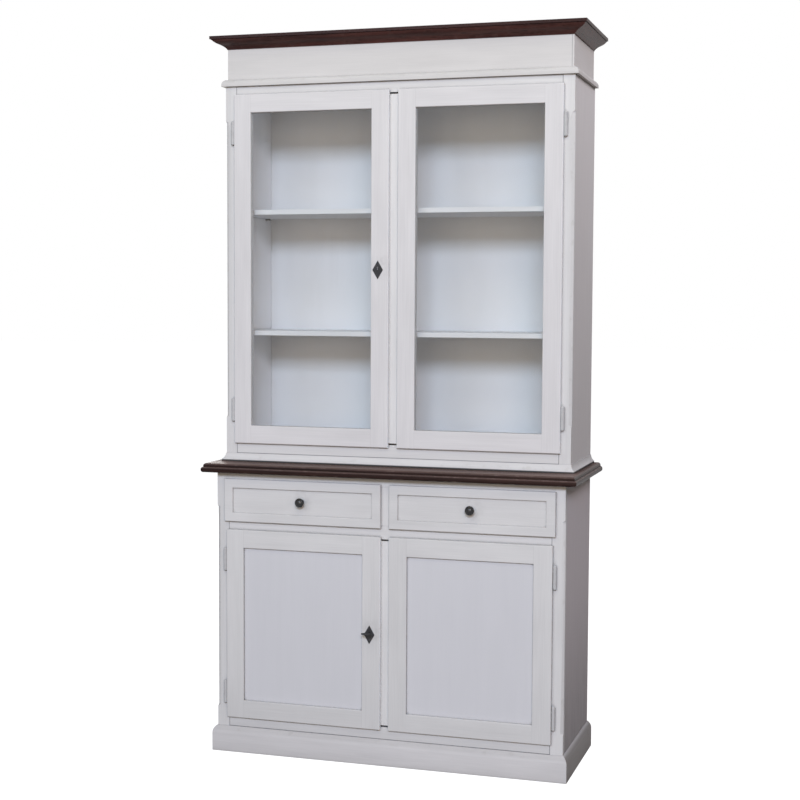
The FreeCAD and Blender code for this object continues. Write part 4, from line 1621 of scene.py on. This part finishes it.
@dataclass
class Lock(Assembly):
    """A let-in lock with its plate, and the pins and screws that hold them."""

    level: str
    has_key: bool = False
    pin: Head = Head(radius=0.0017, height=0.0009)
    pin_reach: float = 0.0205
    screw: Head = Head(radius=0.0026, height=0.0007, slotted=True)
    screw_inset: float = 0.005

    def build(self) -> list[bpy.types.Object]:
        """Set out the plate's pins and the case's screws.

        Returns:
            The two pieces.
        """
        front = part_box(f"{self.level}_escutcheon")[0].y
        x, middle = middle_of(f"{self.level}_escutcheon")
        heights = (middle - self.pin_reach, middle + self.pin_reach)
        pins = [standing(x, front, z, FRONT) for z in heights]
        low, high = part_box(f"{self.level}_lock_case")
        corners = [
            (x, z)
            for x in (low.x + self.screw_inset, high.x - self.screw_inset)
            for z in (low.z + self.screw_inset, high.z - self.screw_inset)
        ]
        screws = [standing(x, high.y, z, BACK, turn) for turn, (x, z) in enumerate(corners)]
        body = f"{self.level}_door_left"
        return [
            self.pin.set_out(f"{self.level}_plate_pins", pins, body, "dark_iron", IRON),
            self.screw.set_out(f"{self.level}_lock_screws", screws, body, "steel", STEEL),
        ]

    def dress(self) -> list[str]:
        """Dress the plate, the case, the bolt and the key.

        Returns:
            The nodes dressed.
        """
        names = [
            *IRON.dress(f"{self.level}_escutcheon"),
            *STEEL.dress(f"{self.level}_lock_case", f"{self.level}_lock_bolt"),
        ]
        if self.has_key:
            names += IRON.dress(f"{self.level}_key")
        return names


@dataclass(frozen=True)
class Lamp:
    """A soft rectangular studio lamp, with its width and height in metres."""

    name: str
    place: Point
    aim: Point
    size: Span
    power: float
    colour: Colour

    def hang(self) -> bpy.types.Object:
        """Hang the lamp, facing its aim.

        Returns:
            The lamp object.
        """
        light = bpy.data.lights.new(self.name, "AREA")
        light.shape = "RECTANGLE"
        light.size, light.size_y = self.size
        light.energy = self.power
        light.color = self.colour
        lamp = bpy.data.objects.new(self.name, light)
        lamp.location = self.place
        ahead = Vector(self.aim) - Vector(self.place)
        lamp.rotation_euler = ahead.to_track_quat("-Z", "Y").to_euler()
        bpy.context.scene.collection.objects.link(lamp)
        return lamp


HUTCH_AIM: Point = (0.0, 0.1, 1.45)
FRONT_AIM: Point = (0.0, 0.0, 1.3)


@dataclass
class Studio:
    """The floor, the white room, the lamps and the camera.

    The camera's place is in metres, its turns in radians, and its lens in millimetres.
    """

    floor_half: float = 40.0
    floor_cells: int = 4
    room_light: Colour = (0.030, 0.030, 0.030)
    camera_place: Point = (1.3811886, -4.5465374, 1.4030937)
    camera_yaw: float = 0.2972351
    camera_pitch: float = -0.0647824
    camera_roll: float = 0.0048420
    focal_length: float = 69.3763
    sensor_width: float = 36.0
    sight_end: float = 200.0
    lamps: tuple[Lamp, ...] = (
        Lamp(
            "window", (2.4532, -10.5260, 5.0991), HUTCH_AIM, (3.6, 2.0), 737.0, (0.643, 0.80, 1.0)
        ),
        Lamp(
            "window_left",
            (-4.0853, -10.0116, 5.0991),
            HUTCH_AIM,
            (4.0, 2.0),
            165.0,
            (0.75, 0.837, 1.0),
        ),
        Lamp(
            "lamp_right", (5.1199, -9.5291, 5.0991), HUTCH_AIM, (3.0, 2.0), 130.0, (1.0, 0.65, 0.54)
        ),
        Lamp("front_fill", (1.0, -7.0, 1.6), FRONT_AIM, (6.0, 2.6), 121.0, (1.0, 0.845, 0.66)),
        Lamp("upper_front", (0.2, -1.9, 3.5), FRONT_AIM, (2.6, 1.6), 16.5, (1.0, 0.975, 0.75)),
        Lamp("upper_right", (2.2, 0.5, 3.0), (0.5, 0.0, 2.0), (1.1, 1.1), 20.0, (0.98, 0.95, 1.0)),
        Lamp("back_left", (-3.4, 3.6, 2.4), (0.0, 0.2, 1.2), (3.0, 2.4), 130.0, (1.0, 0.98, 0.96)),
    )

    def set_up(self) -> list[bpy.types.Object]:
        """Set up everything round the object.

        Returns:
            The objects of the studio.
        """
        self.room()
        return [self.floor(), self.camera(), *(lamp.hang() for lamp in self.lamps)]

    def floor(self) -> bpy.types.Object:
        """Lay the floor.

        Returns:
            The floor.
        """
        sheet = bmesh.new()
        bmesh.ops.create_grid(
            sheet, x_segments=self.floor_cells, y_segments=self.floor_cells, size=self.floor_half
        )
        mesh = bpy.data.meshes.new("studio_floor")
        sheet.to_mesh(mesh)
        sheet.free()
        material = PaleFloor("pale_floor").material()
        material.cycles.emission_sampling = "NONE"
        mesh.materials.append(material)
        floor = bpy.data.objects.new("studio_floor", mesh)
        bpy.context.scene.collection.objects.link(floor)
        return floor

    def room(self) -> None:
        """Light the room evenly, and show it white."""
        world = bpy.data.worlds.new("studio_room")
        world.use_nodes = True
        recipe = Recipe(world.node_tree)
        even, white = (
            recipe.node("ShaderNodeBackground", sockets={"Color": colour, "Strength": 1.0})
            for colour in (self.room_light, WHITE)
        )
        both = recipe.mixed(recipe.shown_to_eye(), even, white)
        recipe.output(both, "ShaderNodeOutputWorld")
        bpy.context.scene.world = world
        bpy.context.scene.view_settings.view_transform = "Standard"

    def camera(self) -> bpy.types.Object:
        """Stand the camera where the photograph was taken from.

        Returns:
            The camera.
        """
        yaw, pitch, roll = self.camera_yaw, self.camera_pitch, self.camera_roll
        level_ahead = Vector((-math.sin(yaw), math.cos(yaw), 0.0))
        ahead = level_ahead * math.cos(pitch) + Vector((0.0, 0.0, math.sin(pitch)))
        right = Vector((math.cos(yaw), math.sin(yaw), 0.0))
        up = right.cross(ahead)
        level = right * math.cos(roll) + up * math.sin(roll)
        rise = up * math.cos(roll) - right * math.sin(roll)
        lens = bpy.data.cameras.new("camera")
        lens.sensor_width = self.sensor_width
        lens.lens = self.focal_length
        lens.clip_end = self.sight_end
        camera = bpy.data.objects.new("camera", lens)
        turn = Matrix((level, rise, -ahead)).transposed().to_4x4()
        camera.matrix_world = Matrix.Translation(self.camera_place) @ turn
        bpy.context.scene.collection.objects.link(camera)
        bpy.context.scene.camera = camera
        return camera


def main() -> None:
    """Build and dress the dresser, then set up the studio."""
    logging.basicConfig(level=logging.INFO, format="%(name)s: %(message)s")
    assemblies: list[Assembly] = [
        BaseCarcass(),
        HutchCarcass(),
        *(PanelledDoor(side) for side in Side),
        *(GlazedDoor(side) for side in Side),
        *(Drawer(side) for side in Side),
        Lock("base", has_key=True),
        Lock("hutch"),
    ]
    for assembly in assemblies:
        for piece in assembly.build():
            log.info("built %s", piece.name)
        log.info("dressed %s", ", ".join(assembly.dress()))
    for item in Studio().set_up():
        log.info("set up %s", item.name)


if __name__ == "__main__":
    main()
